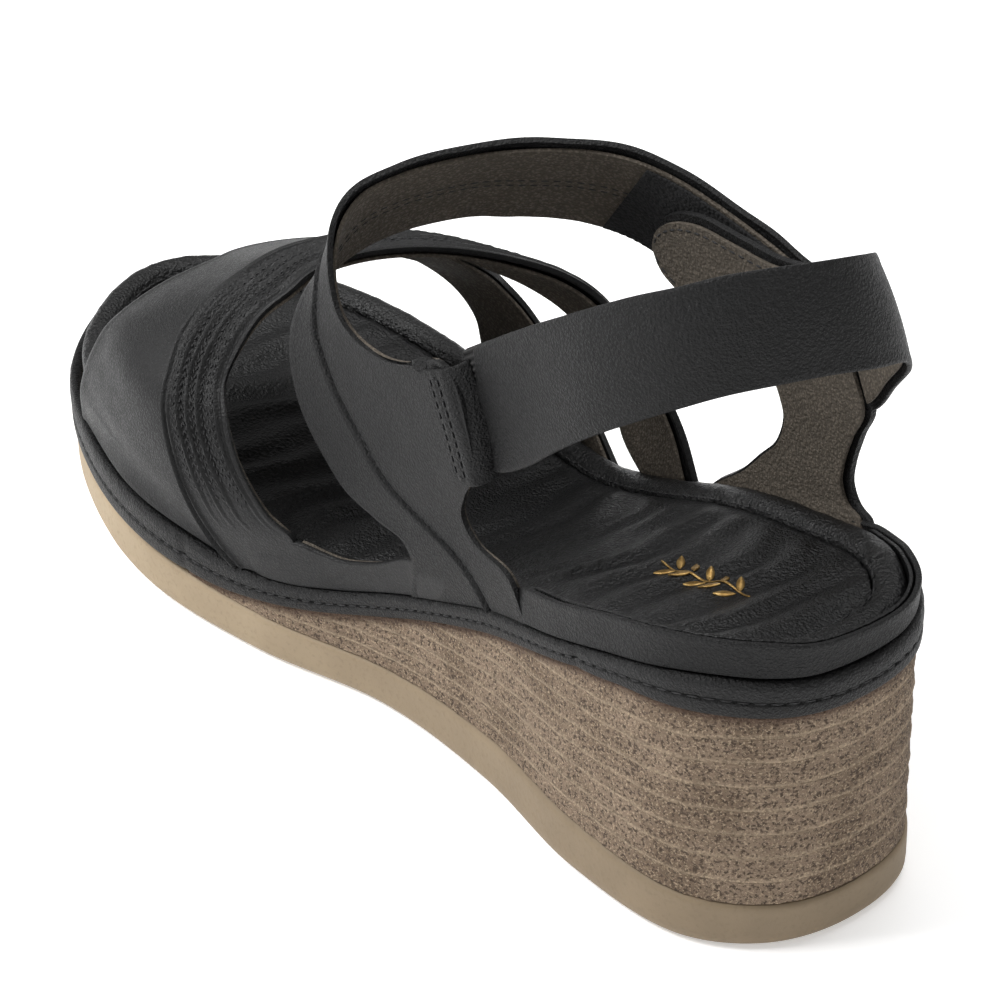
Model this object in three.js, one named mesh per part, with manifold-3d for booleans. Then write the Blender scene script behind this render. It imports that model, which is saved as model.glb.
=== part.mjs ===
// Wedge sandal, right foot, in millimetres. +Y is the toe, +X the outer side, +Z up.
// The origin is under the middle of the bounding box, on the ground.
//
// The sole is a stack of layers and rings that share one outline. The uppers are strips of
// leather with a lining. A strip is drawn by stations along it: each station holds a point
// on its first edge, sometimes a point between, and the point on its second edge.
import * as THREE from 'three';
import Module from 'manifold-3d';

// Overall sizes
const LENGTH = 250;
const WIDTH = 89;
const HEIGHT = 142;

// Thicknesses and clearances
const LEATHER = 1.2;
const LINING = 0.8;
const PATCH = 0.6;
const THREAD = 0.7;
const GAP = 0.3;
const SOLE_GAP = 0.7;
const SEAT_GAP = 0.9;

// Sole
const SOLE_DRAFT = 1.2;
const RAND_PROUD = 0.7;
const RAND_WALL = 1.6;
const BOARD = 1.2;
const BOARD_DROP = 1.2;
const HEEL_CUP_DEPTH = 2.2;
const SOCK = 1.0;
const SOCK_DROP = 1.6;
const HEEL_DISH = 2.2;
const FOREFOOT_DISH = 0.8;
const RIM_GAP = 1.2;
const RIM_OUTER_INSET = LEATHER + GAP + LINING + RIM_GAP;
const RIM_WIDTH = 5.5;
const WEDGE_FRONT = 44;

// Uppers
const ANKLE_CROWN = 0.8;
const PLEATED_CROWN = 1.2;
const STRAP_HINGE = 12;
const HOOK_START = 21.3;
const LOOP_END = 6.6;
const QUARTER_END = 7;
const GORE_START = 19.6;

// Fineness of the solids
const LOOP_STEPS = 56;
const LAYER_ROWS = 22;
const LAYER_CELLS = 4;

// The stations below are drawn for a shoe of this length, width and height.
const DRAWN = { length: 250, width: 89, height: 142 };
const STRETCH = new THREE.Vector3(
  WIDTH / DRAWN.width, LENGTH / DRAWN.length, HEIGHT / DRAWN.height,
);

const wasm = await Module();
wasm.setup();

const V = (x, y, z) => new THREE.Vector3(x, y, z).multiply(STRETCH);
const { lerp, smoothstep } = THREE.MathUtils;

// ------------------------------------------------------------ heights along the shoe

// A smooth height along Y through [y, z] stations.
function profile(...stations) {
  const curve = new THREE.SplineCurve(stations.map(([y, z]) => new THREE.Vector2(y, z)));
  const samples = curve.getPoints(stations.length * 12);
  return (y) => {
    const drawn = y / STRETCH.y;
    const next = samples.findIndex((point) => point.x > drawn);
    if (next <= 0) return samples.at(next).y * STRETCH.z;
    const [a, b] = [samples[next - 1], samples[next]];
    return lerp(a.y, b.y, (drawn - a.x) / (b.x - a.x)) * STRETCH.z;
  };
}

const toeSpring = profile([-130, -0.4], [60, -0.4], [75, 0], [92, 1.2], [112, 4.6], [132, 9.6]);
const treadHeight = (y) => Math.max(0, toeSpring(y));
const outsoleHeight = profile(
  [-126, 10], [-90, 12.5], [-60, 13.5], [-30, 12], [0, 10.2], [30, 10.8], [60, 12],
  [90, 12.8], [110, 15], [132, 20.5],
);
const wedgeHeight = profile(
  [-126, 55.6], [-110, 57.2], [-93, 56.3], [-84, 54.4], [-73, 51.6], [-50, 42.6],
  [-27, 32.6], [-9, 24.2], [6, 18.6], [21, 15.2], [34, 13], [48, 12.4], [60, 12.3],
);
const seamHeight = profile(
  [-126, 63.4], [-115, 66], [-106, 66.3], [-90, 62.6], [-68, 55.3], [-50, 48.7],
  [-40, 44.4], [-26, 38], [-14, 32.8], [0, 26.9], [10, 24], [21, 22.1], [32, 21.6],
  [45, 22.4], [62, 23], [80, 23.5], [95, 24.8], [110, 27], [132, 31],
);
const rimHeight = profile(
  [-126, 69], [-106, 69.8], [-97, 68], [-90, 66], [-77, 62], [-64, 58], [-51, 53],
  [-39, 47.2], [-30, 42.6], [-14, 35.4], [0, 31], [20, 29], [48, 30], [75, 31.4],
  [100, 33], [132, 36],
);

// 1 in the heel, 0 ahead of the arch.
const heelShare = (y) => 1 - smoothstep(y / STRETCH.y, -95, -60);
const coreBase = (y) => (y < WEDGE_FRONT * STRETCH.y ? wedgeHeight(y) : outsoleHeight(y)) + GAP;
const randBase = (y) => Math.max(wedgeHeight(y), outsoleHeight(y)) + GAP;
const boardTop = (y) => seamHeight(y) - BOARD_DROP - HEEL_CUP_DEPTH * heelShare(y);
const coreTop = (y) => boardTop(y) - BOARD - GAP;
const sockDish = (y) => lerp(FOREFOOT_DISH, HEEL_DISH, heelShare(y));
const sockTop = (y, bow) => rimHeight(y) - SOCK_DROP - sockDish(y) * bow;
const foamTop = (y, bow) => sockTop(y, bow) - SOCK - GAP;
const raised = (height, lift) => (y, bow) => height(y, bow) + lift;

// ------------------------------------------------------------ the outline of the sole

// From the back of the heel forward along the inner side, round the toe and back.
const outline = new THREE.CatmullRomCurve3([
  V(0, -121.5, 0), V(-16.4, -117, 0), V(-28.6, -103.5, 0), V(-32, -75, 0),
  V(-28.2, -42, 0), V(-29.2, -8, 0), V(-38.6, 24, 0), V(-43, 57.9, 0), V(-38, 87.5, 0),
  V(-27, 111.3, 0), V(-8.2, 125.6, 0), V(5, 128.6, 0), V(16.5, 125.5, 0), V(28, 116, 0),
  V(37, 101, 0), V(43.4, 83, 0), V(46.4, 62, 0), V(46.4, 40, 0), V(43.4, 8, 0),
  V(39.6, -20, 0), V(36.8, -45, 0), V(34.1, -75, 0), V(29.3, -102.1, 0), V(18.3, -117.8, 0),
], true);
const outlinePoints = outline.getSpacedPoints(LOOP_STEPS).slice(0, LOOP_STEPS);

// The outline moved in by an inset.
function loop(inset) {
  return outlinePoints.map((point, i) => {
    const before = outlinePoints[(i + LOOP_STEPS - 1) % LOOP_STEPS];
    const after = outlinePoints[(i + 1) % LOOP_STEPS];
    const along = after.clone().sub(before).normalize();
    return new THREE.Vector3(point.x + along.y * inset, point.y - along.x * inset, 0);
  });
}

// The inner and the outer x of a loop at one y.
function span(points, y) {
  const crossings = [];
  points.forEach((a, i) => {
    const b = points[(i + 1) % points.length];
    if ((a.y <= y && b.y > y) || (b.y <= y && a.y > y)) {
      crossings.push(lerp(a.x, b.x, (y - a.y) / (b.y - a.y)));
    }
  });
  return [Math.min(...crossings), Math.max(...crossings)];
}

// Where an upper meets the platform, at one y.
const footLoop = loop(LEATHER + GAP / 2);
function foot(side, drawnY) {
  const y = drawnY * STRETCH.y;
  const x = span(footLoop, y)[side === 'inner' ? 0 : 1];
  return new THREE.Vector3(x, y, seamHeight(y) + SEAT_GAP);
}

// ------------------------------------------------------------ solids

// Welds equal points, drops empty triangles and turns the faces outwards.
function solid(points, triangles) {
  const index = new Map();
  const corners = [];
  const welded = points.map((point) => {
    const key = point.toArray().map((value) => Math.round(value * 1e4)).join();
    if (!index.has(key)) index.set(key, corners.push(point) - 1);
    return index.get(key);
  });
  const faces = triangles
    .map((face) => face.map((corner) => welded[corner]))
    .filter(([a, b, c]) => a !== b && b !== c && c !== a);
  const volume = faces.reduce((sum, [a, b, c]) => (
    sum + corners[a].dot(corners[b].clone().cross(corners[c]))
  ), 0);
  const geometry = new THREE.BufferGeometry().setFromPoints(corners);
  geometry.setIndex((volume < 0 ? faces.map(([a, b, c]) => [a, c, b]) : faces).flat());
  return geometry;
}

function grid(rows, columns, at, flip = false) {
  const faces = [];
  for (let i = 0; i < rows; i += 1) {
    for (let j = 0; j < columns; j += 1) {
      const [a, b, c, d] = [at(i, j), at(i + 1, j), at(i + 1, j + 1), at(i, j + 1)];
      faces.push(...(flip ? [[a, c, b], [a, d, c]] : [[a, b, c], [a, c, d]]));
    }
  }
  return faces;
}

// Two grids of points, one over the other, closed all round.
function slab(top, under, rows, columns) {
  const size = (rows + 1) * (columns + 1);
  const at = (i, j) => i * (columns + 1) + j;
  const level = (i, j, lower) => at(i, j) + lower * size;
  return solid([...top, ...under], [
    ...grid(rows, columns, (i, j) => level(i, j, 0)),
    ...grid(rows, columns, (i, j) => level(i, j, 1), true),
    ...grid(rows, 1, (i, lower) => level(i, 0, lower), true),
    ...grid(rows, 1, (i, lower) => level(i, columns, lower)),
    ...grid(columns, 1, (j, lower) => level(0, j, lower)),
    ...grid(columns, 1, (j, lower) => level(rows, j, lower), true),
  ]);
}

// One level of a layer: rows across the inset outline from the heel to front, or to the toe.
function levelPoints(inset, height, front) {
  const points = loop(inset);
  const start = points.reduce((a, b) => (a.y < b.y ? a : b));
  const end = points.reduce((a, b) => (a.y > b.y ? a : b));
  const level = [];
  for (let i = 0; i <= LAYER_ROWS; i += 1) {
    const share = i / LAYER_ROWS;
    const y = front === undefined
      ? lerp(start.y, end.y, (1 - Math.cos(Math.PI * share)) / 2)
      : lerp(start.y, front * STRETCH.y, 1 - Math.cos((Math.PI / 2) * share));
    const closed = i === 0 ? start : end;
    const tip = i === 0 || (front === undefined && i === LAYER_ROWS);
    const [left, right] = tip ? [closed.x, closed.x] : span(points, y);
    for (let j = 0; j <= LAYER_CELLS; j += 1) {
      const across = (2 * j) / LAYER_CELLS - 1;
      const bow = (1 - across * across) * Math.min(1, (right - left) / (2 * RIM_WIDTH));
      level.push(new THREE.Vector3(lerp(left, right, j / LAYER_CELLS), y, height(y, bow)));
    }
  }
  return level;
}

function layer({ inset = 0, draft = 0, bottom, top, front }) {
  const upper = levelPoints(inset, top, front);
  const lower = levelPoints(inset + draft, bottom, front);
  return slab(upper, lower, LAYER_ROWS, LAYER_CELLS);
}

// A closed ring: each section point is an inset and a height along the shoe.
function ring(...section) {
  const points = section.flatMap(([inset, height]) => (
    loop(inset).map((point) => point.setZ(height(point.y)))
  ));
  const at = (i, j) => (j % section.length) * LOOP_STEPS + (i % LOOP_STEPS);
  return solid(points, grid(LOOP_STEPS, section.length, at));
}

function threadRing(inset, height) {
  const half = THREAD / 2;
  return ring(
    [inset - half, height], [inset, raised(height, half)],
    [inset + half, height], [inset, raised(height, -half)],
  );
}

// ------------------------------------------------------------ leather strips

const flat = () => 0;
const between = (a, middle, b, v) => {
  const [u, w] = [1 - v, 2 * v - 1];
  const bend = middle ? 4 * u * v : 0;
  const [first, last] = middle ? [-u * w, v * w] : [u, v];
  const point = a.clone().multiplyScalar(first).addScaledVector(b, last);
  return middle ? point.addScaledVector(middle, bend) : point;
};

// A surface over the stations. inside is a point that the surface's outer face turns away
// from, and crown(t, v) lifts the surface off the stations.
function strip(stations, inside, crown = flat) {
  const edges = stations[0].map((_, side) => (
    new THREE.CatmullRomCurve3(stations.map((station) => station[side]))
  ));
  const last = stations.length - 1;
  const plain = (t, v) => {
    const u = THREE.MathUtils.clamp(t / last, 0, 1);
    const [a, ...rest] = edges.map((edge) => edge.getPoint(u));
    return rest.length > 1 ? between(a, rest[0], rest[1], v) : between(a, null, rest[0], v);
  };
  const turned = (t, v) => {
    const along = plain(Math.min(t + 0.05, last), v).sub(plain(Math.max(t - 0.05, 0), v));
    const across = plain(t, v + 0.02).sub(plain(t, v - 0.02));
    return along.cross(across).normalize();
  };
  const sign = Math.sign(turned(last / 2, 0.5).dot(plain(last / 2, 0.5).sub(inside)));
  const normal = (t, v) => turned(t, v).multiplyScalar(sign);
  const point = (t, v, lift) => (
    plain(t, v).addScaledVector(normal(t, v), lift + crown(t, v))
  );
  return { last, normal, point };
}

// A closed sheet of one strip between two lifts, from one station to another.
function sheet(surface, low, high, options = {}) {
  const { from = 0, to = surface.last, edges = [0, 1], cells = 2, rowsEach = 1 } = options;
  const rows = Math.max(2, Math.round((to - from) * rowsEach));
  const levels = [high, low].map((lift) => {
    const points = [];
    for (let i = 0; i <= rows; i += 1) {
      for (let j = 0; j <= cells; j += 1) {
        points.push(surface.point(lerp(from, to, i / rows), lerp(...edges, j / cells), lift));
      }
    }
    return points;
  });
  return slab(...levels, rows, cells);
}

const outer = (surface, options) => sheet(surface, GAP / 2, GAP / 2 + LEATHER, options);
const lining = (surface, options) => sheet(surface, -GAP / 2 - LINING, -GAP / 2, options);

function toManifold(geometry) {
  return new wasm.Manifold(new wasm.Mesh({
    numProp: 3,
    vertProperties: new Float32Array(geometry.attributes.position.array),
    triVerts: new Uint32Array(geometry.index.array),
  }));
}

// Joins two solids that overlap into one.
function join(first, second) {
  const { vertProperties, triVerts } = toManifold(first).add(toManifold(second)).getMesh();
  const geometry = new THREE.BufferGeometry();
  geometry.setAttribute('position', new THREE.BufferAttribute(vertProperties, 3));
  geometry.setIndex(new THREE.BufferAttribute(triVerts, 1));
  return geometry;
}

// ------------------------------------------------------------ stations of the uppers

const FOREFOOT_INSIDE = V(2, 40, 25);
const ARCH_INSIDE = V(2, -20, 60);
const HEEL_INSIDE = V(2, -70, 80);

// Pleated band: front edge and rear edge, from the inner side over the foot to the outer.
const pleatedStations = [
  [foot('inner', 30), foot('inner', 12)],
  [V(-40.6, 34.5, 26.5), V(-34.8, 11.5, 36)],
  [V(-41.4, 41, 33), V(-36.5, 18, 40)],
  [V(-41, 47.4, 42.4), V(-37.3, 25.6, 47.5)],
  [V(-38.8, 52.4, 51.6), V(-36, 31.7, 56)],
  [V(-34.5, 55.5, 56.6), V(-33, 36.4, 60.5)],
  [V(-29, 58.3, 61.4), V(-28.5, 37, 67)],
  [V(-22, 59.4, 65), V(-23, 36, 73.5)],
  [V(-13, 59.4, 68), V(-17, 33.6, 78)],
  [V(-4, 58.7, 70.2), V(-12, 33, 80.6)],
  [V(6, 54.5, 71.6), V(-5, 30.3, 82.6)],
  [V(15, 48.5, 72.6), V(4, 24.9, 83.6)],
  [V(23.5, 40.5, 71.3), V(15, 18.6, 82)],
  [V(31, 31.7, 67.6), V(24.5, 11, 79.4)],
  [V(36.2, 22.7, 64.6), V(31.5, 4.4, 76.2)],
  [V(39.7, 13.7, 60.3), V(36, -1.2, 71.8)],
  [V(41, 5.5, 53.5), V(38.6, -10.5, 64)],
  [V(40.6, -0.5, 45.5), V(38.8, -18.5, 56.5)],
  [V(39.6, -5, 38), V(38.2, -25.5, 49.5)],
  [foot('outer', -12.5), foot('outer', -31.5)],
];

// Toe band: its rear edge follows the pleated band to the crest, then leaves it to come down
// further forward on the outer side.
const toeFront = [
  foot('inner', 94), V(-35.2, 92.7, 33), V(-34.3, 91, 39.5), V(-32.5, 89.3, 45),
  V(-30, 88.3, 48.8), V(-27, 87.3, 51.2), V(-22.5, 86.7, 53.2), V(-17, 86, 55),
  V(-11, 85, 56.3), V(-4.5, 84.3, 57), V(2, 85.5, 56.4), V(9, 84.5, 56),
  V(17, 79, 56.8), V(25, 70.5, 57.8), V(31.5, 61.5, 57.4), V(38, 53.4, 51.6),
  V(42.6, 49.8, 42.5), V(44.2, 49.4, 34), foot('outer', 48),
];
const toeRearOuter = [
  V(33.6, 33.8, 64), V(38.8, 33.5, 57.7), V(42.2, 30, 51.5), V(43.8, 20, 42),
  V(43, 8.5, 34), foot('outer', -1),
];
const toeShared = toeFront.length - toeRearOuter.length;
const toeStations = toeFront.map((front, i) => {
  const [ahead, behind] = pleatedStations[Math.min(i, toeShared - 1)];
  const beside = ahead.clone().add(ahead.clone().sub(behind).setLength(2 * GAP));
  const rear = i < toeShared ? beside : toeRearOuter[i - toeShared];
  return [front, front.clone().lerp(rear, 0.5), rear];
});
toeStations.at(0)[1] = foot('inner', 62);
toeStations.at(-1)[1] = foot('outer', 24);
const toeBulge = (t) => 3 * smoothstep(t, -0.6, 1) * (1 - 0.8 * smoothstep(t, 11, 16));
const toeCrown = (t, v) => 4 * v * (1 - v) * toeBulge(t) * Math.min(1, t, 18 - t);

// Inner quarter and instep strap: rear edge, stitched seam and front edge, from the base of
// the inner quarter over the instep to the end that closes on the outer side.
const quarterStations = [
  [foot('inner', -60), foot('inner', -45), foot('inner', -19)],
  [V(-29.6, -55, 61.2), V(-28.2, -41, 52.4), V(-28.2, -21.3, 46)],
  [V(-28.8, -43.5, 62.5), V(-28.2, -34, 55.5), V(-28.6, -18.8, 49.8)],
  [V(-28.6, -39, 67), V(-28.2, -27, 57), V(-29, -11.9, 50.4)],
  [V(-29.3, -41, 73), V(-28.4, -21.8, 58.6), V(-29, -4.5, 51.5)],
  [V(-30.3, -46, 82), V(-28.4, -14.8, 61), V(-29, 1.5, 53.2)],
  [V(-30.8, -44.6, 91.5), V(-28.4, -9, 64), V(-29, 6.7, 56.2)],
  [V(-30.5, -39.5, 100.2), V(-28.2, -4.6, 67.4), V(-28.8, 11.5, 60.5)],
  [V(-30, -34, 101.2), V(-28, -0.5, 71), V(-28.5, 15.5, 65.5)],
  [V(-29.6, -24, 95.2), V(-27.8, 4, 75), V(-28, 18.3, 70)],
  [V(-29, -14, 91.6), V(-27.3, 8, 79.6), V(-27.2, 20, 75.5)],
  [V(-28, -2.8, 91.4), V(-26.2, 11.7, 84), V(-25.6, 20.8, 81.5)],
  [V(-26.5, 4, 93.8), V(-24.4, 14, 89.2), V(-22.5, 21.4, 86)],
  [V(-25, 7.9, 101.3), V(-21.6, 15.8, 94.6), V(-18.5, 21.4, 88.8)],
  [V(-22, 9, 110), V(-17.5, 15.8, 100), V(-13.5, 20.6, 91)],
  [V(-17, 8.8, 114.8), V(-12, 15.2, 103.6), V(-7.5, 20, 92.7)],
  [V(-9, 6.3, 117.6), V(-4.6, 13, 105.8), V(-1, 18.8, 93.8)],
  [V(-0.5, 3, 118.9), V(3, 10, 107), V(6, 16.6, 94.4)],
  [V(10, -2.2, 119.6), V(12, 6, 107.4), V(13.5, 13.3, 94.6)],
  [V(19.5, -9.6, 120), V(20.6, -0.8, 107.4), V(21, 8, 94.3)],
  [V(25.5, -14.9, 119.5), V(26.8, -6, 107), V(27, 3, 93.9)],
  [V(30.7, -21.4, 118.2), V(32, -12.2, 106), V(32.2, -3.2, 93.3)],
  [V(34.9, -29, 115.8), V(36.2, -19.7, 104), V(36.5, -10.5, 91.9)],
  [V(37.5, -38.3, 113), V(38.8, -28.1, 101.6), V(39.3, -18, 89.5)],
  [V(38.6, -49.2, 110.8), V(39.9, -39.1, 99.4), V(40.4, -29, 87.3)],
  [V(39, -59.6, 108.8), V(40.2, -51.3, 97.6), V(40.7, -43, 86)],
  [V(39, -68, 107), V(40.1, -62.5, 96.3), V(40.6, -57, 85.6)],
  [V(38.6, -74.5, 105), V(39.6, -72.4, 95.8), V(40.1, -69, 86.8)],
];

// Arch strip below the opening on the inner side: bottom edge and top edge.
const archStations = [
  [foot('inner', 11.3), V(-34.7, 10.7, 36)],
  [foot('inner', 5.5), V(-32.8, 5.3, 35.4)],
  [foot('inner', 0), V(-31.3, 0.5, 35.4)],
  [foot('inner', -5.5), V(-29.9, -5.3, 37.3)],
  [foot('inner', -11.5), V(-28.9, -10.6, 39.8)],
  [foot('inner', -18.2), V(-28.1, -18.2, 44.6)],
];

// Ankle band: upper edge and lower edge, from the tab that the instep strap closes on, round
// the back of the ankle, to its end under the inner quarter's flange.
const ankleStations = [
  [V(33, -23.2, 99.4), V(33.6, -23.4, 94.6)],
  [V(32.4, -25, 103.8), V(33.8, -25.4, 90.8)],
  [V(32.2, -29.6, 107.8), V(34, -30.2, 88.2)],
  [V(32.4, -37, 110.4), V(34, -37.5, 86.3)],
  [V(32.5, -49, 111), V(34, -50, 84.4)],
  [V(32.4, -60, 111.6), V(33.6, -63, 85)],
  [V(32, -69, 114), V(32.8, -77, 87.3)],
  [V(30.6, -77.5, 118.8), V(31.2, -89.3, 91)],
  [V(28.4, -85.5, 124.6), V(29, -97, 101)],
  [V(24.8, -93, 130.6), V(26, -103.3, 109)],
  [V(18.5, -98.6, 135.7), V(20.5, -107.4, 115.4)],
  [V(11, -100.6, 139), V(12.5, -108.8, 118.4)],
  [V(3, -99.6, 140.6), V(3.5, -107, 120)],
  [V(-5, -96.8, 141.2), V(-6, -103.6, 120.2)],
  [V(-12, -93, 140.6), V(-14.2, -98.6, 118.8)],
  [V(-17.5, -88.6, 138.6), V(-20.2, -93, 115.7)],
  [V(-21.5, -82.6, 135.6), V(-24.4, -86.6, 111.4)],
  [V(-24.5, -75.2, 131), V(-27.2, -78.6, 105.5)],
  [V(-26.4, -66.6, 125.2), V(-28.3, -69, 97.4)],
  [V(-27, -56.4, 118), V(-27.6, -58.8, 88.2)],
  [V(-27, -46.6, 110.6), V(-27.3, -49.6, 82)],
  [V(-26.9, -38, 103.8), V(-27, -40, 79.4)],
];
const ankleCrown = (t, v) => (
  4 * v * (1 - v) * ANKLE_CROWN * smoothstep(t, 7, 9) * (1 - smoothstep(t, 17, 19))
);

// Stem of the outer quarter: front edge, middle and rear edge, from the platform up to the
// ankle band, which it runs into.
const stemStations = [
  [foot('outer', -37), foot('outer', -65), foot('outer', -92)],
  [V(36, -39.8, 46.8), V(34.7, -64.5, 58.2), V(31.6, -89.6, 65.8)],
  [V(35.4, -48, 54.3), V(34.5, -66, 62.2), V(32.4, -85.3, 66.6)],
  [V(34.9, -54.4, 61.9), V(34.2, -68, 66.8), V(32.5, -83.2, 70.4)],
  [V(34.5, -59.3, 67.8), V(34, -71.5, 71.6), V(32.5, -83.6, 75.4)],
  [V(34.2, -61.4, 74.6), V(33.8, -73.5, 78.5), V(32.2, -86, 83)],
  [V(34.1, -59.8, 79.6), V(33.5, -74, 83.4), V(31.7, -87.7, 87)],
  [V(34, -52, 86.2), V(33, -72, 89.5), V(31.2, -88.4, 92.6)],
];

// Heel counter: side, y and height of its top edge, from the inner to the outer side.
const counterTops = [
  ['inner', -60.8, 61.6], ['inner', -72, 65.4], ['inner', -86, 70.5], ['inner', -97, 73.4],
  ['inner', -108, 74.8], ['inner', -115, 74.2], ['inner', -119, 72.4], ['outer', -119, 71],
  ['outer', -114, 70.6], ['outer', -105, 69.4], ['outer', -98, 67.4], ['outer', -92.8, 66.2],
];
const counterStations = counterTops.map(([side, y, top]) => {
  const base = foot(side, y);
  return [base, base.clone().setZ(top * STRETCH.z)];
});

const pleatedSurface = strip(pleatedStations, FOREFOOT_INSIDE, (t, v) => (
  4 * v * (1 - v) * PLEATED_CROWN
));
const toeSurface = strip(toeStations, FOREFOOT_INSIDE, toeCrown);
const quarterSurface = strip(quarterStations, ARCH_INSIDE);
const archSurface = strip(archStations, ARCH_INSIDE);
const ankleSurface = strip(ankleStations, HEEL_INSIDE, ankleCrown);
const stemSurface = strip(stemStations, HEEL_INSIDE);
const counterSurface = strip(counterStations, HEEL_INSIDE);

// The panels on either side of the stitched seam, and the two bodies of the strap.
const REAR_PANEL = [0, 0.495];
const FRONT_PANEL = [0.505, 1];
const FIXED = { from: 0, to: STRAP_HINGE - 0.02 };
const SWUNG = { from: STRAP_HINGE + 0.02, to: quarterSurface.last };

// ------------------------------------------------------------ sub-parts

const finishes = {
  tread: { color: 0x8c7a63, roughness: 0.7 },
  wedge: { color: 0x6e5a48, roughness: 0.75 },
  foam: { color: 0x2b2a28, roughness: 0.9 },
  board: { color: 0x9a8667, roughness: 0.9 },
  leather: { color: 0x151517, roughness: 0.45 },
  footbed: { color: 0x121214, roughness: 0.4 },
  lining: { color: 0x6f665a, roughness: 0.7 },
  elastic: { color: 0x101012, roughness: 0.95 },
  patch: { color: 0x0c0c0d, roughness: 1 },
  thread: { color: 0x18181a, roughness: 0.8 },
};

const sandal = new THREE.Group();
const strap = new THREE.Group();

function add(name, finish, geometry, group = sandal) {
  const material = new THREE.MeshStandardMaterial({ ...finishes[finish], metalness: 0 });
  const mesh = new THREE.Mesh(geometry, material);
  mesh.name = name;
  group.add(mesh);
}

function addSole() {
  const rimInner = RIM_OUTER_INSET + RIM_WIDTH;
  const stitch = (y) => lerp(randBase(y), seamHeight(y), 0.45);
  const groove = THREAD + GAP;
  add('outsole', 'tread', layer({
    draft: SOLE_DRAFT, bottom: treadHeight, top: outsoleHeight,
  }));
  add('wedge', 'wedge', layer({
    bottom: raised(outsoleHeight, GAP), top: wedgeHeight, front: WEDGE_FRONT,
  }));
  add('platform_core', 'foam', layer({
    inset: RAND_WALL + SOLE_GAP, bottom: coreBase, top: coreTop,
  }));
  add('rand_cover', 'leather', ring(
    [-RAND_PROUD, randBase], [-RAND_PROUD, raised(stitch, -groove)], [0, stitch],
    [-RAND_PROUD, raised(stitch, groove)], [0, raised(seamHeight, -GAP)],
    [RAND_WALL / 2, seamHeight], [RAND_WALL, raised(seamHeight, -GAP)],
    [RAND_WALL, randBase],
  ));
  add('rand_thread', 'thread', threadRing(-THREAD - GAP, stitch));
  add('insole_board', 'board', layer({
    inset: RAND_WALL + SOLE_GAP, bottom: raised(boardTop, -BOARD), top: boardTop,
  }));
  add('footbed_foam', 'foam', layer({
    inset: rimInner + SOLE_GAP, bottom: raised(boardTop, SOLE_GAP), top: foamTop,
  }));
  add('footbed_rim', 'footbed', ring(
    [RIM_OUTER_INSET, raised(boardTop, SOLE_GAP)], [RIM_OUTER_INSET, raised(rimHeight, -2)],
    [RIM_OUTER_INSET + 1.5, rimHeight], [rimInner - 2, raised(rimHeight, -0.3)],
    [rimInner, raised(rimHeight, -1.2)], [rimInner, raised(boardTop, SOLE_GAP)],
  ));
  add('sock', 'footbed', layer({
    inset: rimInner + SOLE_GAP, bottom: raised(sockTop, -SOCK), top: sockTop,
  }));
  add('footbed_thread', 'thread', threadRing(
    rimInner - 2, raised(rimHeight, THREAD / 2 + GAP),
  ));
}

function addHeelCounter() {
  add('heel_counter', 'leather', outer(counterSurface, { cells: 1, rowsEach: 3 }));
  add('heel_counter_lining', 'footbed', lining(counterSurface, { cells: 1, rowsEach: 3 }));
}

function addForefootBands() {
  add('toe_band', 'leather', outer(toeSurface, { cells: 5 }));
  add('toe_band_lining', 'lining', lining(toeSurface, { cells: 5 }));
  add('pleated_band', 'leather', outer(pleatedSurface, { cells: 4 }));
  add('pleated_band_lining', 'lining', lining(pleatedSurface, { cells: 4 }));
  add('arch_strip', 'leather', outer(archSurface, { cells: 1 }));
  add('arch_strip_lining', 'lining', lining(archSurface, { cells: 1 }));
}

function addInnerQuarter() {
  add('inner_quarter', 'leather', outer(quarterSurface, { ...FIXED, edges: REAR_PANEL }));
  add('inner_quarter_front', 'leather', outer(quarterSurface, {
    ...FIXED, edges: FRONT_PANEL,
  }));
  add('inner_quarter_lining', 'lining', lining(quarterSurface, { ...FIXED, cells: 4 }));
}

function addInstepStrap() {
  const face = -GAP / 2 - LINING - GAP;
  add('strap_rear_panel', 'leather', outer(quarterSurface, {
    ...SWUNG, edges: REAR_PANEL,
  }), strap);
  add('strap_front_panel', 'leather', outer(quarterSurface, {
    ...SWUNG, edges: FRONT_PANEL,
  }), strap);
  add('strap_lining', 'lining', lining(quarterSurface, { ...SWUNG, cells: 4 }), strap);
  add('hook_patch', 'patch', sheet(quarterSurface, face - PATCH, face, {
    from: HOOK_START, to: quarterSurface.last - 0.4, edges: [0.08, 0.92],
  }), strap);
}

function addAnkle() {
  const quarter = { from: 0, to: QUARTER_END };
  const back = { from: QUARTER_END + 0.05, to: GORE_START - 0.05 };
  const face = GAP / 2 + LEATHER + GAP;
  add('outer_quarter', 'leather', join(
    outer(ankleSurface, quarter), outer(stemSurface, { cells: 4 }),
  ));
  add('outer_quarter_lining', 'lining', join(
    lining(ankleSurface, quarter), lining(stemSurface, { cells: 4 }),
  ));
  add('loop_patch', 'patch', sheet(ankleSurface, face, face + PATCH, {
    from: 1, to: LOOP_END, edges: [0.1, 0.9],
  }));
  add('back_strap', 'leather', outer(ankleSurface, back));
  add('back_strap_lining', 'lining', lining(ankleSurface, back));
  add('elastic_gore', 'elastic', sheet(ankleSurface, -LINING, LINING, { from: GORE_START }));
}

addSole();
addHeelCounter();
addForefootBands();
addInnerQuarter();
addInstepStrap();
addAnkle();
sandal.add(strap);

// The outline's middle goes over the origin.
const middle = new THREE.Box3().setFromPoints(outlinePoints).getCenter(new THREE.Vector3());
sandal.position.copy(middle).negate();

export default sandal;
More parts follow.
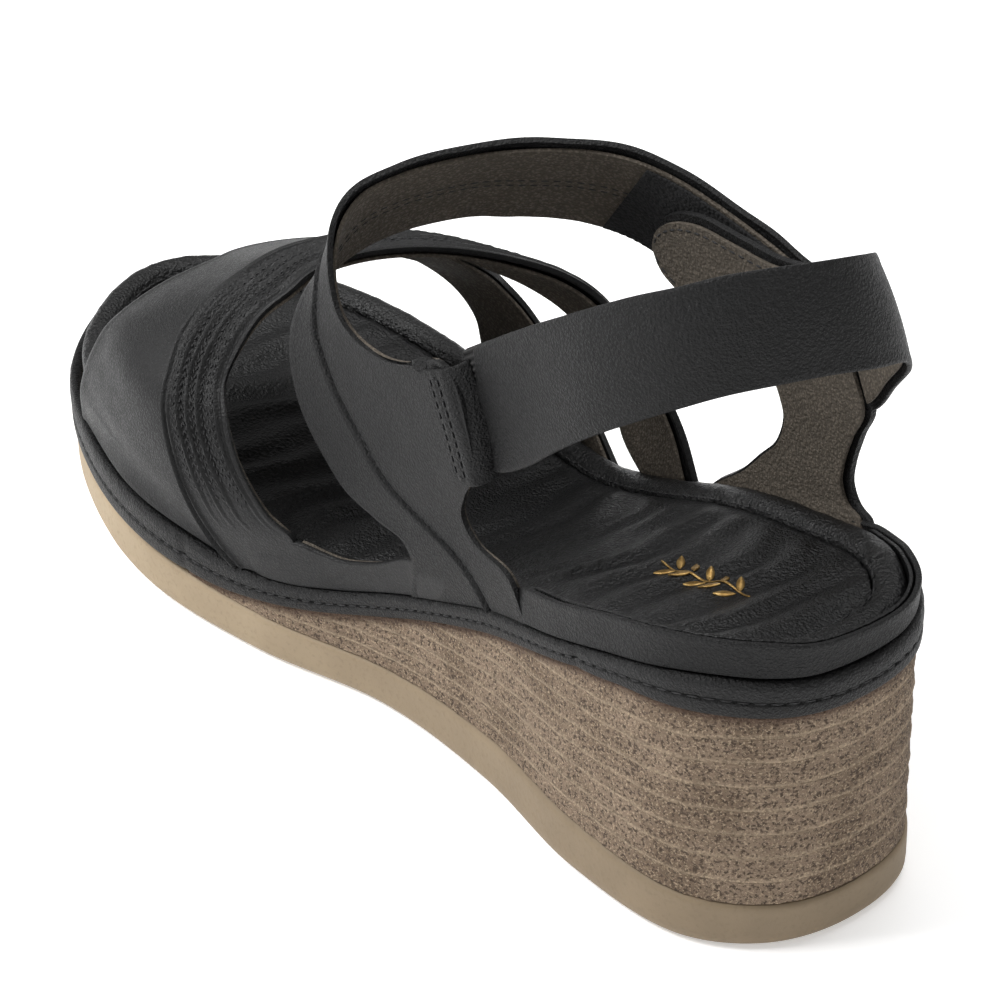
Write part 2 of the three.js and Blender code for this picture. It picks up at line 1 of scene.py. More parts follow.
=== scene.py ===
"""A wedge sandal for the right foot, in black leather on a brown wedge.

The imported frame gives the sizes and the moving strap. The leather, linings, stitching,
padding and sole are drawn here in millimetres, in the pattern's own frame, and are moved
to the frame's origin when a piece is made. +Y is the toe, +X the outer side, +Z up.
"""

import math

import bmesh
import bpy
import numpy as np
from mathutils import Matrix, Vector


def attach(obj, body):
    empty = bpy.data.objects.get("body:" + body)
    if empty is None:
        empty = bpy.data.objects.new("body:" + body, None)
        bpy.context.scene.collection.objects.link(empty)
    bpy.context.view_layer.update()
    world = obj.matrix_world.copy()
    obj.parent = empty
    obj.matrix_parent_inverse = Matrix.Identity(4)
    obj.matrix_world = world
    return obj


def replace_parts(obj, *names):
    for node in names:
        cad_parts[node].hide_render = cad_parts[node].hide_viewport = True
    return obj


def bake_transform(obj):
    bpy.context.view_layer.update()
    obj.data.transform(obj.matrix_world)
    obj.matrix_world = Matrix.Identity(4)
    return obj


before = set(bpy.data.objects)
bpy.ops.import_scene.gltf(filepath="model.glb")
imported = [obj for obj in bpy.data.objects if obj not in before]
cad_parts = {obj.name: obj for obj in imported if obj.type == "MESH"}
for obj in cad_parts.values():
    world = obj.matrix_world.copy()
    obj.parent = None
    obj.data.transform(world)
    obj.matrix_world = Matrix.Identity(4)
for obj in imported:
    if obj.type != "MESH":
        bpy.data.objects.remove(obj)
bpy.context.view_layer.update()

MM = 0.001
PATTERN_MIDDLE = np.array([1.84, 3.52, 0.0])  # the middle of the outline, in the pattern's frame

# Leather, lining and thread, in millimetres
LEATHER = 1.2
LINING = 0.8
GAP = 0.15
TURNED_EDGE = 0.42
GOOD_SIDE = GAP + LEATHER
LINING_BACK = -GAP - LINING
SOFT_EDGE = 0.2
EVEN_SAMPLES = 600  # samples for even distances along a pattern piece

# Sole
SOLE_STEPS = 170  # steps along each side of the outline
FOOTBED_EDGE = 9.0
WEDGE_FRONT = 44.0
WEDGE_GAP = 0.3
RAND_GAP = 0.2
UPPER_GAP = 0.25
FOAM_GAP = 0.8
RAND_STITCH, FOOTBED_STITCH = -0.62, 8.75  # insets of the two rows of stitches
MOTIF_MIDDLE = (0.2, -77.5)

# Camera, measured in metres, with its roll in degrees
CAMERA_BACK = (-0.4958, -0.6564, 0.5686)
CAMERA_PLACE = (-0.38984, -0.51722, 0.485)
CAMERA_ROLL = -1.48
CAMERA_LENS, CAMERA_SENSOR = 133.06, 36
CAMERA_SHIFT = (0.0377, -0.0142)
LIGHT_AIM = (0, 0, 0.06)


# ---- camera, floor and light

def add_object(name, data):
    thing = bpy.data.objects.new(name, data)
    bpy.context.scene.collection.objects.link(thing)
    return thing


def set_camera():
    camera = add_object("camera", bpy.data.cameras.new("camera"))
    back = Vector(CAMERA_BACK).normalized()
    right = Vector((0, 0, 1)).cross(back).normalized()
    up = back.cross(right)
    roll = math.radians(CAMERA_ROLL)
    turned_right = math.cos(roll) * right + math.sin(roll) * up
    turned_up = -math.sin(roll) * right + math.cos(roll) * up
    place = Matrix((turned_right, turned_up, back)).transposed().to_4x4()
    place.translation = Vector(CAMERA_PLACE)
    camera.matrix_world = place
    camera.data.lens, camera.data.sensor_width = CAMERA_LENS, CAMERA_SENSOR
    camera.data.shift_x, camera.data.shift_y = CAMERA_SHIFT
    camera.data.clip_start, camera.data.clip_end = 0.05, 30
    bpy.context.scene.camera = camera


def set_light(name, place, size, power):
    lamp = bpy.data.lights.new(name, "AREA")
    lamp.shape, lamp.size, lamp.size_y = "RECTANGLE", size[0], size[1]
    lamp.energy = power
    light = add_object(name, lamp)
    light.location = place
    aim = Vector(LIGHT_AIM) - Vector(place)
    light.rotation_euler = aim.to_track_quat("-Z", "Y").to_euler()


def set_studio():
    bpy.context.scene.view_settings.view_transform = "Standard"
    world = bpy.data.worlds.new("studio")
    world.use_nodes = True
    sky = world.node_tree.nodes["Background"]
    sky.inputs["Color"].default_value = (1, 1, 1, 1)
    sky.inputs["Strength"].default_value = 0.3
    bpy.context.scene.world = world
    set_light("key", (-0.9, 0.75, 1.35), (0.7, 0.7), 30)
    set_light("fill", (-1.0, -1.1, 0.7), (1.2, 0.9), 2.0)
    set_light("top", (0.5, 0.2, 1.6), (1.2, 1.2), 16)


# ---- materials

class Level:
    """A number in a material's nodes. Sums on it add Math nodes."""

    def __init__(self, finish, socket):
        self.finish, self.socket = finish, socket

    def sum(self, operation, *terms):
        return self.finish.node("ShaderNodeMath", {"operation": operation}, *terms)

    def __add__(self, other):
        return self.sum("ADD", self, other)

    def __sub__(self, other):
        return self.sum("SUBTRACT", self, other)

    def __mul__(self, other):
        return self.sum("MULTIPLY", self, other)

    def __rsub__(self, other):
        return self.sum("SUBTRACT", other, self)

    __radd__, __rmul__ = __add__, __mul__


class Finish:
    """A procedural material on the piece's own coordinates, in metres."""

    def __init__(self, name):
        self.material = bpy.data.materials.new(name)
        self.material.use_nodes = True
        self.nodes = self.material.node_tree.nodes
        self.links = self.material.node_tree.links
        self.shader = self.nodes["Principled BSDF"]
        self.place = self.node("ShaderNodeTexCoord", {}, output="Object")

    def node(self, kind, settings, *values, output=0, **named):
        node = self.nodes.new(kind)
        for key, value in settings.items():
            setattr(node, key, value)
        for key, value in [*enumerate(values), *named.items()]:
            self.join(value, node.inputs[key])
        return Level(self, node.outputs[output])

    def join(self, value, socket):
        if isinstance(value, Level):
            self.links.new(value.socket, socket)
        else:
            socket.default_value = value

    def noise(self, size, detail=3.0, rough=0.55):
        """Soft clouds about size millimetres across."""
        return self.node("ShaderNodeTexNoise", {}, Vector=self.place,
                         Scale=1 / (size * MM), Detail=detail, Roughness=rough)

    def cells(self, size):
        """Distance inside cells about size millimetres across."""
        return self.node("ShaderNodeTexVoronoi", {"feature": "F1"}, Vector=self.place,
                         Scale=1 / (size * MM))

    def step(self, value, low, high, start=0.0, end=1.0):
        return self.node("ShaderNodeMapRange", {"interpolation_type": "SMOOTHSTEP"},
                         value, low, high, start, end)

    def relief(self, name="relief"):
        """A mark kept on the piece's points, by default how far a place stands proud or lies in a
        crease, which the finishes paint as highlight or shade.
        """
        return self.node("ShaderNodeAttribute", {"attribute_name": name}, output="Fac")

    def mix(self, share, first, second):
        node = self.nodes.new("ShaderNodeMix")
        node.data_type = "RGBA"
        for key, value in ((0, share), (6, first), (7, second)):
            self.join(value, node.inputs[key])
        return Level(self, node.outputs[2])

    def finish(self, colour, rough, height, depth, **constants):
        """Sets the shader. height is bumped to depth millimetres."""
        bump = self.node("ShaderNodeBump", {}, Strength=1.0, Distance=depth * MM, Height=height)
        self.join(colour, self.shader.inputs["Base Color"])
        self.join(rough, self.shader.inputs["Roughness"])
        self.join(bump, self.shader.inputs["Normal"])
        for key, value in constants.items():
            self.shader.inputs[key.replace("_", " ")].default_value = value
        return self.material


def shade(red, green, blue):
    """A colour given as it looks, from 0 to 255."""
    def linear(c):
        c /= 255
        return c / 12.92 if c <= 0.04045 else ((c + 0.055) / 1.055) ** 2.4
    return (linear(red), linear(green), linear(blue), 1)


def grain_leather(name, dark, light, cell, depth, rough, shine):
    """Pebbled leather: dark between the pebbles, with painted shade in creases and a painted
    highlight where it stands proud, over random tone.
    """
    f = Finish(name)
    drift = f.noise(cell * 9, 2)
    pebbles = f.cells(cell) * 0.6 + f.cells(cell * 0.55) * 0.4
    grain = pebbles + f.noise(cell * 0.35, 2) * 0.35
    relief = f.relief()
    # random tone from drift, plus a painted highlight where the relief mark stands proud
    tone_and_highlight = f.step(drift * 0.6 + relief * 0.5, 0.25, 0.85)
    valleys = f.step(pebbles, 0.2, 0.6)
    deepest = tuple(c * 0.25 for c in dark[:3]) + (1,)
    colour = f.mix(tone_and_highlight, dark, light)
    colour = f.mix(valleys * 0.6, colour, deepest)
    # painted shade in the creases, where the relief mark is below zero
    colour = f.mix(f.step(relief * -1, 0.05, 0.7) * 0.9, colour, deepest)
    roughness = rough + (drift - 0.5) * 0.18 + valleys * 0.16
    return f.finish(colour, roughness, 1 - grain, depth, Specular_IOR_Level=shine)


def wedge_cork():
    """Rough brown pitted wedge with pale pressed lines, and painted shade along its top under the
    rand.
    """
    f = Finish("wedge_brown")
    pits, specks, broad = f.noise(0.85, 3, 0.6), f.noise(0.5, 2, 0.6), f.noise(14, 2)
    base = f.mix(f.step(broad, 0.3, 0.7), shade(110, 92, 74), shade(138, 119, 100))
    line = f.relief("line")
    colour = f.mix(line * (0.35 + specks * 0.6), base, shade(168, 150, 126))
    dark_pits = f.step(pits, 0.4, 0.5, 1, 0) * (1 - line * 0.75)
    colour = f.mix(dark_pits * 0.85, colour, shade(60, 45, 33))
    colour = f.mix(f.step(specks, 0.54, 0.64) * 0.65, colour, shade(186, 165, 138))
    # painted shade along the top of the wedge, under the rand's overhang
    colour = f.mix(f.relief("under") * 0.75, colour, shade(66, 42, 28))
    height = (pits + specks * 0.6) * (1 - line * 0.8)
    return f.finish(colour, 0.82 + pits * 0.1, height, 1.0)


def tread_rubber():
    """Tan rubber, with painted shade that darkens it towards the heel."""
    f = Finish("tread_tan")
    broad, fine = f.noise(30, 3), f.noise(1.1, 3)
    clouds = f.step(broad, 0.3, 0.7)
    along = f.node("ShaderNodeSeparateXYZ", {}, f.place, output="Y")
    # front is the lit colour and rear a shaded copy of it, mixed as painted shade toward the heel
    painted_shade_toward_heel = f.step(along, 0.08, -0.09)
    front = f.mix(clouds, shade(152, 134, 108), shade(166, 148, 121))
    rear = f.mix(clouds, shade(122, 106, 84), shade(136, 119, 95))
    colour = f.mix(painted_shade_toward_heel, front, rear)
    colour = f.mix(f.step(fine, 0.5, 0.75) * 0.3, colour, shade(112, 96, 76))
    return f.finish(colour, 0.6 + fine * 0.12, fine, 0.08)


def sewing_thread():
    f = Finish("thread_black")
    twist = f.node("ShaderNodeTexWave", {"bands_direction": "DIAGONAL"},
                   Vector=f.place, Scale=900, Distortion=1.5)
    colour = f.mix(twist, shade(16, 16, 17), shade(46, 46, 47))
    return f.finish(colour, 0.62 + twist * 0.1, twist, 0.12)


def elastic_web():
    f = Finish("elastic_black")
    weave, fine = f.relief(), f.noise(0.5, 2)
    # light on the rib crests and dark between them: a painted highlight and shade on the ribs
    colour = f.mix(f.step(weave, -0.6, 0.8), shade(10, 10, 11), shade(44, 43, 43))
    return f.finish(colour, 0.85 + fine * 0.1, fine, 0.3)


def patch_fuzz():
    f = Finish("patch_black")
    hooks, fine = f.cells(0.8), f.noise(0.3, 3)
    colour = f.mix(hooks, shade(32, 32, 33), shade(9, 9, 10))
    return f.finish(colour, 0.9 + fine * 0.08, 1 - hooks + fine * 0.5, 0.6)


def gilt_foil():
    f = Finish("gilt_print")
    wear, fine = f.noise(1.4, 4), f.noise(0.4, 2)
    colour = f.mix(f.step(wear, 0.35, 0.7), shade(150, 118, 66), shade(205, 172, 112))
    f.join(0.85 + fine * 0.1, f.shader.inputs["Metallic"])
    return f.finish(colour, 0.34 + fine * 0.2, fine, 0.05)


def plain_filler(name, dark, light, size):
    f = Finish(name)
    lumps, fine = f.noise(size, 3), f.noise(size * 0.3, 2)
    return f.finish(f.mix(lumps, dark, light), 0.85 + fine * 0.1, lumps + fine, 0.3)


FINISHES = {
    "leather": grain_leather(
        "leather_black", shade(13, 13, 14), shade(30, 30, 31), 0.66, 0.42, 0.4, 0.3),
    "smooth": grain_leather(
        "leather_smooth", shade(13, 13, 14), shade(28, 28, 29), 0.6, 0.16, 0.38, 0.32),
    "footbed": grain_leather(
        "footbed_black", shade(8, 8, 9), shade(18, 18, 19), 0.9, 0.4, 0.3, 0.36),
    "lining": grain_leather(
        "lining_taupe", shade(98, 90, 80), shade(128, 118, 106), 0.9, 0.4, 0.6, 0.3),
    "wedge": wedge_cork(),
    "tread": tread_rubber(),
    "thread": sewing_thread(),
    "elastic": elastic_web(),
    "patch": patch_fuzz(),
    "gilt": gilt_foil(),
    "foam": plain_filler("foam_grey", shade(36, 35, 34), shade(54, 52, 50), 1.6),
    "board": plain_filler("board_tan", shade(150, 128, 100), shade(170, 150, 120), 2.5),
}


# ---- curves and heights

def blend_between(before, start, end, after, spans, share):
    """One span of a smooth curve, from the lengths given to its three spans."""
    e, f, g = spans
    s = ((start - before) / e - (end - before) / (e + f) + (end - start) / f) * f
    t = ((end - start) / f - (after - start) / (f + g) + (after - end) / g) * f
    return start + share * (s + share * (
        3 * (end - start) - 2 * s - t + share * (2 * (start - end) + s + t)))


def reach(*four):
    """The length given to each of the three spans between four points."""
    return [np.maximum(np.sum((q - p) ** 2, -1, keepdims=True), 1e-9) ** 0.25
            for p, q in zip(four, four[1:])]


def smooth_line(points, where, closed=False):
    """Points on the smooth line through points, at where from 0 to 1."""
    points = np.asarray(points, float)
    spans = len(points) - (not closed)
    x = np.clip(np.asarray(where, float), 0, 1) * spans
    i = np.minimum(x.astype(int), spans - 1)
    if closed:
        ring = points[np.arange(-1, len(points) + 2) % len(points)]
    else:
        ring = np.vstack([2 * points[0] - points[1], points, 2 * points[-1] - points[-2]])
    four = [ring[i + k] for k in range(4)]
    return blend_between(*four, reach(*four), (x - i)[..., None])


def line_across(lines, v):
    """Points on the smooth lines that cross several edge lines, one for each sample."""
    ring = np.concatenate([2 * lines[:1] - lines[1:2], lines, 2 * lines[-1:] - lines[-2:-1]])
    x = v * (len(lines) - 1)
    i = np.clip(np.floor(x).astype(int), 0, len(lines) - 2)
    four = [ring[i + k, np.arange(len(i))] for k in range(4)]
    return blend_between(*four, reach(*four), (x - i)[..., None])


def section_curve(values, count):
    """Even samples of the smooth line through the values of a section."""
    return smooth_line(np.array(values, float)[:, None], np.linspace(0, 1, count))[:, 0]


def profile(*stations):
    """A smooth height along the shoe through [y, z] stations."""
    p = np.array(stations, float)
    x = np.linspace(0, len(p) - 1, 12 * len(p))
    i = np.minimum(x.astype(int), len(p) - 2)
    ends = np.vstack([p[:1], p, p[-1:]])
    a, b, c, d = (ends[i + k] for k in range(4))
    line = blend_between(a, b, c, d, (1, 1, 1), (x - i)[:, None])
    return lambda y: np.interp(y, line[:, 0], line[:, 1])


def ease(value, low, high):
    """0 below low, 1 above high, soft in between."""
    share = np.clip((value - low) / (high - low), 0, 1)
    return share * share * (3 - 2 * share)


def bump(distance, width):
    """1 at no distance, fading to 0 over about two widths."""
    return np.exp(-(distance / width) ** 2)


def waver(s, *waves):
    """Irregular waves from -1 to 1 along s: each wave is (length, phase)."""
    return sum(np.sin(2 * math.pi * s / length + phase) for length, phase in waves) / len(waves)


toe_spring = profile((-130, -0.4), (60, -0.4), (75, 0), (92, 1.2), (112, 4.6), (132, 9.6))
outsole_height = profile(
    (-126, 10), (-90, 12.5), (-60, 13.5), (-30, 12), (0, 10.2), (30, 10.8), (60, 12),
    (90, 12.8), (110, 15), (132, 20.5))
wedge_height = profile(
    (-126, 55.6), (-110, 57.2), (-93, 56.3), (-84, 54.4), (-73, 51.6), (-50, 42.6),
    (-27, 32.6), (-9, 24.2), (6, 18.6), (21, 15.2), (34, 13), (48, 12.4), (60, 12.3))
seam_height = profile(
    (-126, 63.4), (-115, 66), (-106, 66.3), (-90, 62.6), (-68, 55.3), (-50, 48.7),
    (-40, 44.4), (-26, 38), (-14, 32.8), (0, 26.9), (10, 24), (21, 22.1), (32, 21.6),
    (45, 22.4), (62, 23), (80, 23.5), (95, 24.8), (110, 27), (132, 31))
rim_height = profile(
    (-126, 69), (-106, 69.8), (-97, 68), (-90, 66), (-77, 62), (-64, 58), (-51, 53),
    (-39, 47.2), (-30, 42.6), (-14, 35.4), (0, 31), (20, 29), (48, 30), (75, 31.4),
    (100, 33), (132, 36))


def tread_height(y):
    """The underside of the outsole, which rises at the toe."""
    return np.maximum(0, toe_spring(y))


def heel_share(y):
    """1 at the heel, 0 from the arch forward."""
    return 1 - ease(y, -95, -60)


def rand_foot(y):
    """The lower edge of the rand."""
    return np.maximum(wedge_height(y), outsole_height(y)) + RAND_GAP


def board_top(y):
    return seam_height(y) - 1.2 - 2.2 * heel_share(y)


def sock_height(y, bow):
    """The top of the footbed before its ripples, dished where bow is 1."""
    dish = 0.8 + 1.4 * heel_share(y)
    return rim_height(y) - 1.6 - dish * bow


# ---- the outline of the sole

OUTLINE = [
    (0, -121.5), (-16.4, -117), (-28.6, -103.5), (-32, -75), (-28.2, -42), (-29.2, -8),
    (-38.6, 24), (-43, 57.9), (-38, 87.5), (-27, 111.3), (-8.2, 125.6), (5, 128.6),
    (16.5, 125.5), (28, 116), (37, 101), (43.4, 83), (46.4, 62), (46.4, 40), (43.4, 8),
    (39.6, -20), (36.8, -45), (34.1, -75), (29.3, -102.1), (18.3, -117.8),
]


def run_along(line):
    """The distance along a line of points, at each point."""
    return np.concatenate([[0], np.cumsum(np.linalg.norm(np.diff(line, axis=0), axis=1))])


def trace_outline():
    """Even points from the heel along the inner side to the toe, and back along the outer."""
    fine = smooth_line(OUTLINE, np.linspace(0, 1, 4001), closed=True)
    toe = int(np.argmax(fine[:, 1]))
    halves = []
    for part in (fine[:toe + 1], fine[toe:]):
        run = run_along(part)
        steps = np.linspace(0, run[-1], SOLE_STEPS + 1)
        halves.append(np.stack([np.interp(steps, run, part[:, k]) for k in (0, 1)], -1))
    path = np.vstack([halves[0][:-1], halves[1][:-1]])
    along = np.roll(path, -1, axis=0) - np.roll(path, 1, axis=0)
    along /= np.linalg.norm(along, axis=1, keepdims=True)
    return path, np.stack([along[:, 1], -along[:, 0]], -1)


EDGE, INWARD = trace_outline()
EDGE_RUN = run_along(EDGE)


def edge_at(index, inset):
    """The outline's points at whole indices, moved in by inset."""
    index = index.astype(int) % len(EDGE)
    return EDGE[index] + INWARD[index] * np.asarray(inset)[..., None]


def edge_run(index):
    """How far round the outline the points at whole indices are, and their y."""
    index = index.astype(int) % len(EDGE)
    return EDGE_RUN[index], EDGE[index, 1]


FOOT_LINE = EDGE + INWARD * (LEATHER + GAP)


def foot(side, y):
    """Where an upper meets the platform."""
    half = FOOT_LINE[:SOLE_STEPS + 1] if side == "inner" else FOOT_LINE[SOLE_STEPS:]
    order = np.argsort(half[:, 1])
    x = float(np.interp(y, half[order, 1], half[order, 0]))
    return x, y, float(seam_height(y)) + UPPER_GAP


# ---- making pieces

def grid_mesh(rows, cells, place):
    """A sheet of rows by cells. place turns their numbers into points in millimetres and
    reliefs for the finish. Points that fall on each other are joined."""
    made = bmesh.new()
    bmesh.ops.create_grid(made, x_segments=rows, y_segments=cells, size=0.5)
    made.verts.ensure_lookup_table()
    where = np.array([v.co for v in made.verts]) + 0.5
    i, j = np.rint(where[:, 0] * rows), np.rint(where[:, 1] * cells)
    points, levels = place(i, j)
    layers = {name: made.verts.layers.float.new(name) for name in levels}
    for n, vert in enumerate(made.verts):
        vert.co = (points[n] - PATTERN_MIDDLE) * MM
        for name, layer in layers.items():
            vert[layer] = float(levels[name][n])
    bmesh.ops.remove_doubles(made, verts=made.verts, dist=1e-6)
    return made


def to_mesh(name, made):
    """Turns a bmesh into a mesh, and frees it."""
    mesh = bpy.data.meshes.new(name)
    made.to_mesh(mesh)
    made.free()
    return mesh


def make_piece(name, made, finish, body="sandal", closed=True):
    """A finished piece from a bmesh: faces outwards, smooth, with its material."""
    if closed:
        bmesh.ops.recalc_face_normals(made, faces=made.faces)
    mesh = to_mesh(name, made)
    mesh.shade_smooth()
    mesh.materials.append(FINISHES[finish])
    piece = add_object(name, mesh)
    if body:
        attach(piece, body)
    return piece


def sole_solid(name, rows_up, side, across, top, bottom, finish, front=SOLE_STEPS):
    """A closed solid on the outline. side(share, index) gives inset, height and reliefs up
    the side; top and bottom give heights across it."""
    around = 2 * (rows_up + across)
    far = 2 * rows_up + across

    def place(i, j):
        j = j % around
        opposite = (2 * SOLE_STEPS - i) % (2 * SOLE_STEPS)
        outer = (j >= rows_up + across) & (j <= far)
        rise = np.clip(np.where(j <= rows_up, j, far - j) / rows_up, 0, 1)
        index = np.where(outer, opposite, i)
        inset, height, reliefs = side(rise, index)
        sides = edge_at(index, inset)
        points = np.column_stack([sides, height(sides[:, 1])])
        for level, chosen, share in (
                (1, (j > rows_up) & (j < rows_up + across), (j - rows_up) / across),
                (0, j > far, 1 - (j - far) / across)):
            ends = [edge_at(at, side(np.full(len(i), float(level)), at)[0])
                    for at in (i, opposite)]
            share = np.clip(share, 0, 1)[:, None]
            middle = ends[0] * (1 - share) + ends[1] * share
            width = np.linalg.norm(ends[1] - ends[0], axis=1)
            flat = (top if level else bottom)(middle[:, 1], share[:, 0], width, middle[:, 0])
            points[chosen] = np.column_stack([middle, flat])[chosen]
            for key in reliefs:
                reliefs[key] = np.where(chosen, 0, reliefs[key])
        return points, reliefs

    made = grid_mesh(front, around, place)
    bmesh.ops.holes_fill(made, edges=[e for e in made.edges if e.is_boundary], sides=0)
    return make_piece(name, made, finish)


def sole_ring(name, steps, shape, finish):
    """A closed ring round the outline. shape(step, run, y) gives inset, height and reliefs."""
    def place(i, j):
        inset, height, reliefs = shape((j % steps).astype(int), *edge_run(i))
        line = edge_at(i, inset)
        return np.column_stack([line, height(line[:, 1])]), reliefs

    return make_piece(name, grid_mesh(len(EDGE), steps, place), finish)


class Pattern:
    """A leather pattern piece over the last: stations along it, each with two or three
    points across it. inside is a point that the good side turns away from."""

    def __init__(self, stations, inside, crown=None):
        self.stations = np.array(stations, float)
        self.last = len(stations) - 1
        self.crown = crown or (lambda t, v: 0 * t)
        self.sign = 1
        t, v = np.array([self.last / 2]), np.array([0.5])
        outward = np.sum(self.turned(t, v) * (self.plain(t, v) - np.array(inside, float)))
        self.sign = 1 if outward > 0 else -1

    def plain(self, t, v):
        u = t / self.last
        lines = [smooth_line(self.stations[:, k], u) for k in range(self.stations.shape[1])]
        if len(lines) > 2:
            return line_across(np.stack(lines), v)
        return lines[0] * (1 - v[..., None]) + lines[1] * v[..., None]

    def turned(self, t, v):
        """The direction of the good side."""
        before, after = np.maximum(t - 0.05, 0), np.minimum(t + 0.05, self.last)
        along = self.plain(after, v) - self.plain(before, v)
        across = self.plain(t, v + 0.02) - self.plain(t, v - 0.02)
        normal = np.cross(along, across)
        return self.sign * normal / np.maximum(np.linalg.norm(normal, axis=-1, keepdims=True), 1e-9)

    def point(self, t, v, lift=0.0):
        return self.plain(t, v) + self.turned(t, v) * np.asarray(lift + self.crown(t, v))[..., None]

    def even(self, start, end, share):
        """Stations from start to end at even distances, for share from 0 to 1."""
        t = np.linspace(start, end, EVEN_SAMPLES)
        run = run_along(self.plain(t, np.full(EVEN_SAMPLES, 0.5)))
        return np.interp(share * run[-1], run, t), run[-1]

    def width(self, t, v=0.5):
        """The width at a station. On a piece with a seam in the middle, it is twice the width
        of the panel that v is on."""
        ends = [self.plain(t, np.full(t.shape, at)) for at in (0.0, 0.5, 1.0)]
        if self.stations.shape[1] != 3:
            return np.linalg.norm(ends[2] - ends[0], axis=-1)
        rear, front = (2 * np.linalg.norm(ends[k + 1] - ends[k], axis=-1) for k in (0, 1))
        return np.where(np.asarray(v) < 0.5, rear, front)


def cut(name, pattern, finish, lift, thick, spacing=1.0, span=None, across=(0, 1), inset=(0, 0),
        seam_fine=0.0, relief=None, edge=TURNED_EDGE, body="sandal"):
    """A leather or lining piece cut to the pattern, its good side at lift, with rounded edges.
    relief(t, v, run, width) gives extra lift and a mark that the finish paints as shade in creases
    and highlight on ridges.
    seam_fine draws the rows across together at the edges and the middle."""
    start, end = span or (0, pattern.last)
    sample = np.linspace(start, end, 60)
    length = pattern.even(start, end, np.array([0]))[1]
    rows = int(max(4, round(length / spacing)))
    cells = int(max(3, round(pattern.width(sample).max() * (across[1] - across[0]) / spacing)))

    def place(i, j):
        t, run = pattern.even(start, end, i / rows)
        share = j / cells - seam_fine * np.sin(4 * math.pi * j / cells) / (4 * math.pi)
        low = across[0] + inset[0] / pattern.width(t, 0)
        high = across[1] - inset[1] / pattern.width(t, 1)
        v = low + (high - low) * share
        extra, mark = relief(t, v, run * i / rows, pattern.width(t, v)) if relief else (0, 0)
        return pattern.point(t, v, lift + extra), {"relief": mark + 0 * t}

    made = grid_mesh(rows, cells, place)
    turn_outwards(made, pattern, (start + end) / 2, sum(across) / 2)
    piece = make_piece(name, made, finish, body, closed=False)
    wall = piece.modifiers.new("thickness", "SOLIDIFY")
    wall.thickness, wall.offset, wall.use_even_offset = thick * MM, -1, False
    if edge:
        rounding = piece.modifiers.new("edge", "BEVEL")
        rounding.width, rounding.segments = edge * MM, 2
        rounding.limit_method, rounding.angle_limit = "ANGLE", math.radians(60)
    return piece


def add_leather(name, pattern, finish, node, **fit):
    """The leather of an upper, in place of a node of the frame."""
    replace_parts(cut(name, pattern, finish, GOOD_SIDE, LEATHER, **fit), node)


def add_lining(name, pattern, node, spacing, finish="lining", **fit):
    """The lining of an upper, in place of a node of the frame."""
    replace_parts(cut(name, pattern, finish, -GAP, LINING, spacing, edge=SOFT_EDGE, **fit), node)


def turn_outwards(made, pattern, t, v):
    """Turns the faces of a sheet to the good side of its pattern."""
    t, v = np.array([t]), np.array([v])
    middle = Vector(((pattern.point(t, v)[0] - PATTERN_MIDDLE) * MM).tolist())
    good = Vector(pattern.turned(t, v)[0].tolist())
    nearest = min(made.faces, key=lambda f: (f.calc_center_median() - middle).length_squared)
    nearest.normal_update()
    if nearest.normal.dot(good) < 0:
        bmesh.ops.reverse_faces(made, faces=made.faces)


# ---- stitching

def one_stitch():
    made = bmesh.new()
    bmesh.ops.create_uvsphere(made, u_segments=6, v_segments=4, radius=0.5)
    return to_mesh("stitch", made)


STITCH = one_stitch()


def at_run(run, line, where):
    """The point of a line at a distance along it."""
    return np.array([np.interp(where, run, line[:, n]) for n in range(3)])


def sew(made, line, ups, pitch, length, width=0.55, height=0.45, slant=0.0):
    """Lays stitches along a line of points, with ups as the outward directions."""
    run = run_along(line)
    count = max(1, int(run[-1] / pitch))
    for k in range(count):
        middle = (k + 0.5) * run[-1] / count
        ends = [at_run(run, line, middle + side * length / 2) for side in (-1, 1)]
        up = at_run(run, ups, middle)
        along = (ends[1] - ends[0]) / max(np.linalg.norm(ends[1] - ends[0]), 1e-9)
        side = np.cross(up, along)
        along = along + slant * side
        along /= np.linalg.norm(along)
        side = np.cross(up, along)
        side /= np.linalg.norm(side)
        up = np.cross(along, side)
        size = np.column_stack([along * length, side * width, up * height]).tolist()
        turn = Matrix.Scale(MM, 4) @ Matrix(size).to_4x4()
        turn.translation = Vector((((ends[0] + ends[1]) / 2 - PATTERN_MIDDLE) * MM).tolist())
        copy = STITCH.copy()
        copy.transform(turn @ Matrix.Rotation(math.pi / 2, 4, "Y"))
        made.from_mesh(copy)
        bpy.data.meshes.remove(copy)


def sew_pattern(made, pattern, start, end, v, lift, pitch, length, side=1, **size):
    """Stitches along a pattern piece, v across it, or v as a function of the station."""
    t = np.linspace(start, end, 240)
    across = v(t) if callable(v) else np.full(t.shape, float(v))
    sew(made, pattern.point(t, across, lift), pattern.turned(t, across) * side, pitch, length,
        **size)


def sew_round(made, inset, level, pitch, length, **size):
    """Stitches round the sole."""
    index = np.arange(len(EDGE) + 1)
    line = edge_at(index, np.full(len(index), float(inset)))
    ups = np.column_stack([-INWARD[index % len(EDGE)], np.zeros(len(index))])
    if inset > 0:
        ups = np.tile([0.0, 0.0, 1.0], (len(index), 1))
    sew(made, np.column_stack([line, level(line[:, 1])]), ups, pitch, length, **size)


# ---- sole

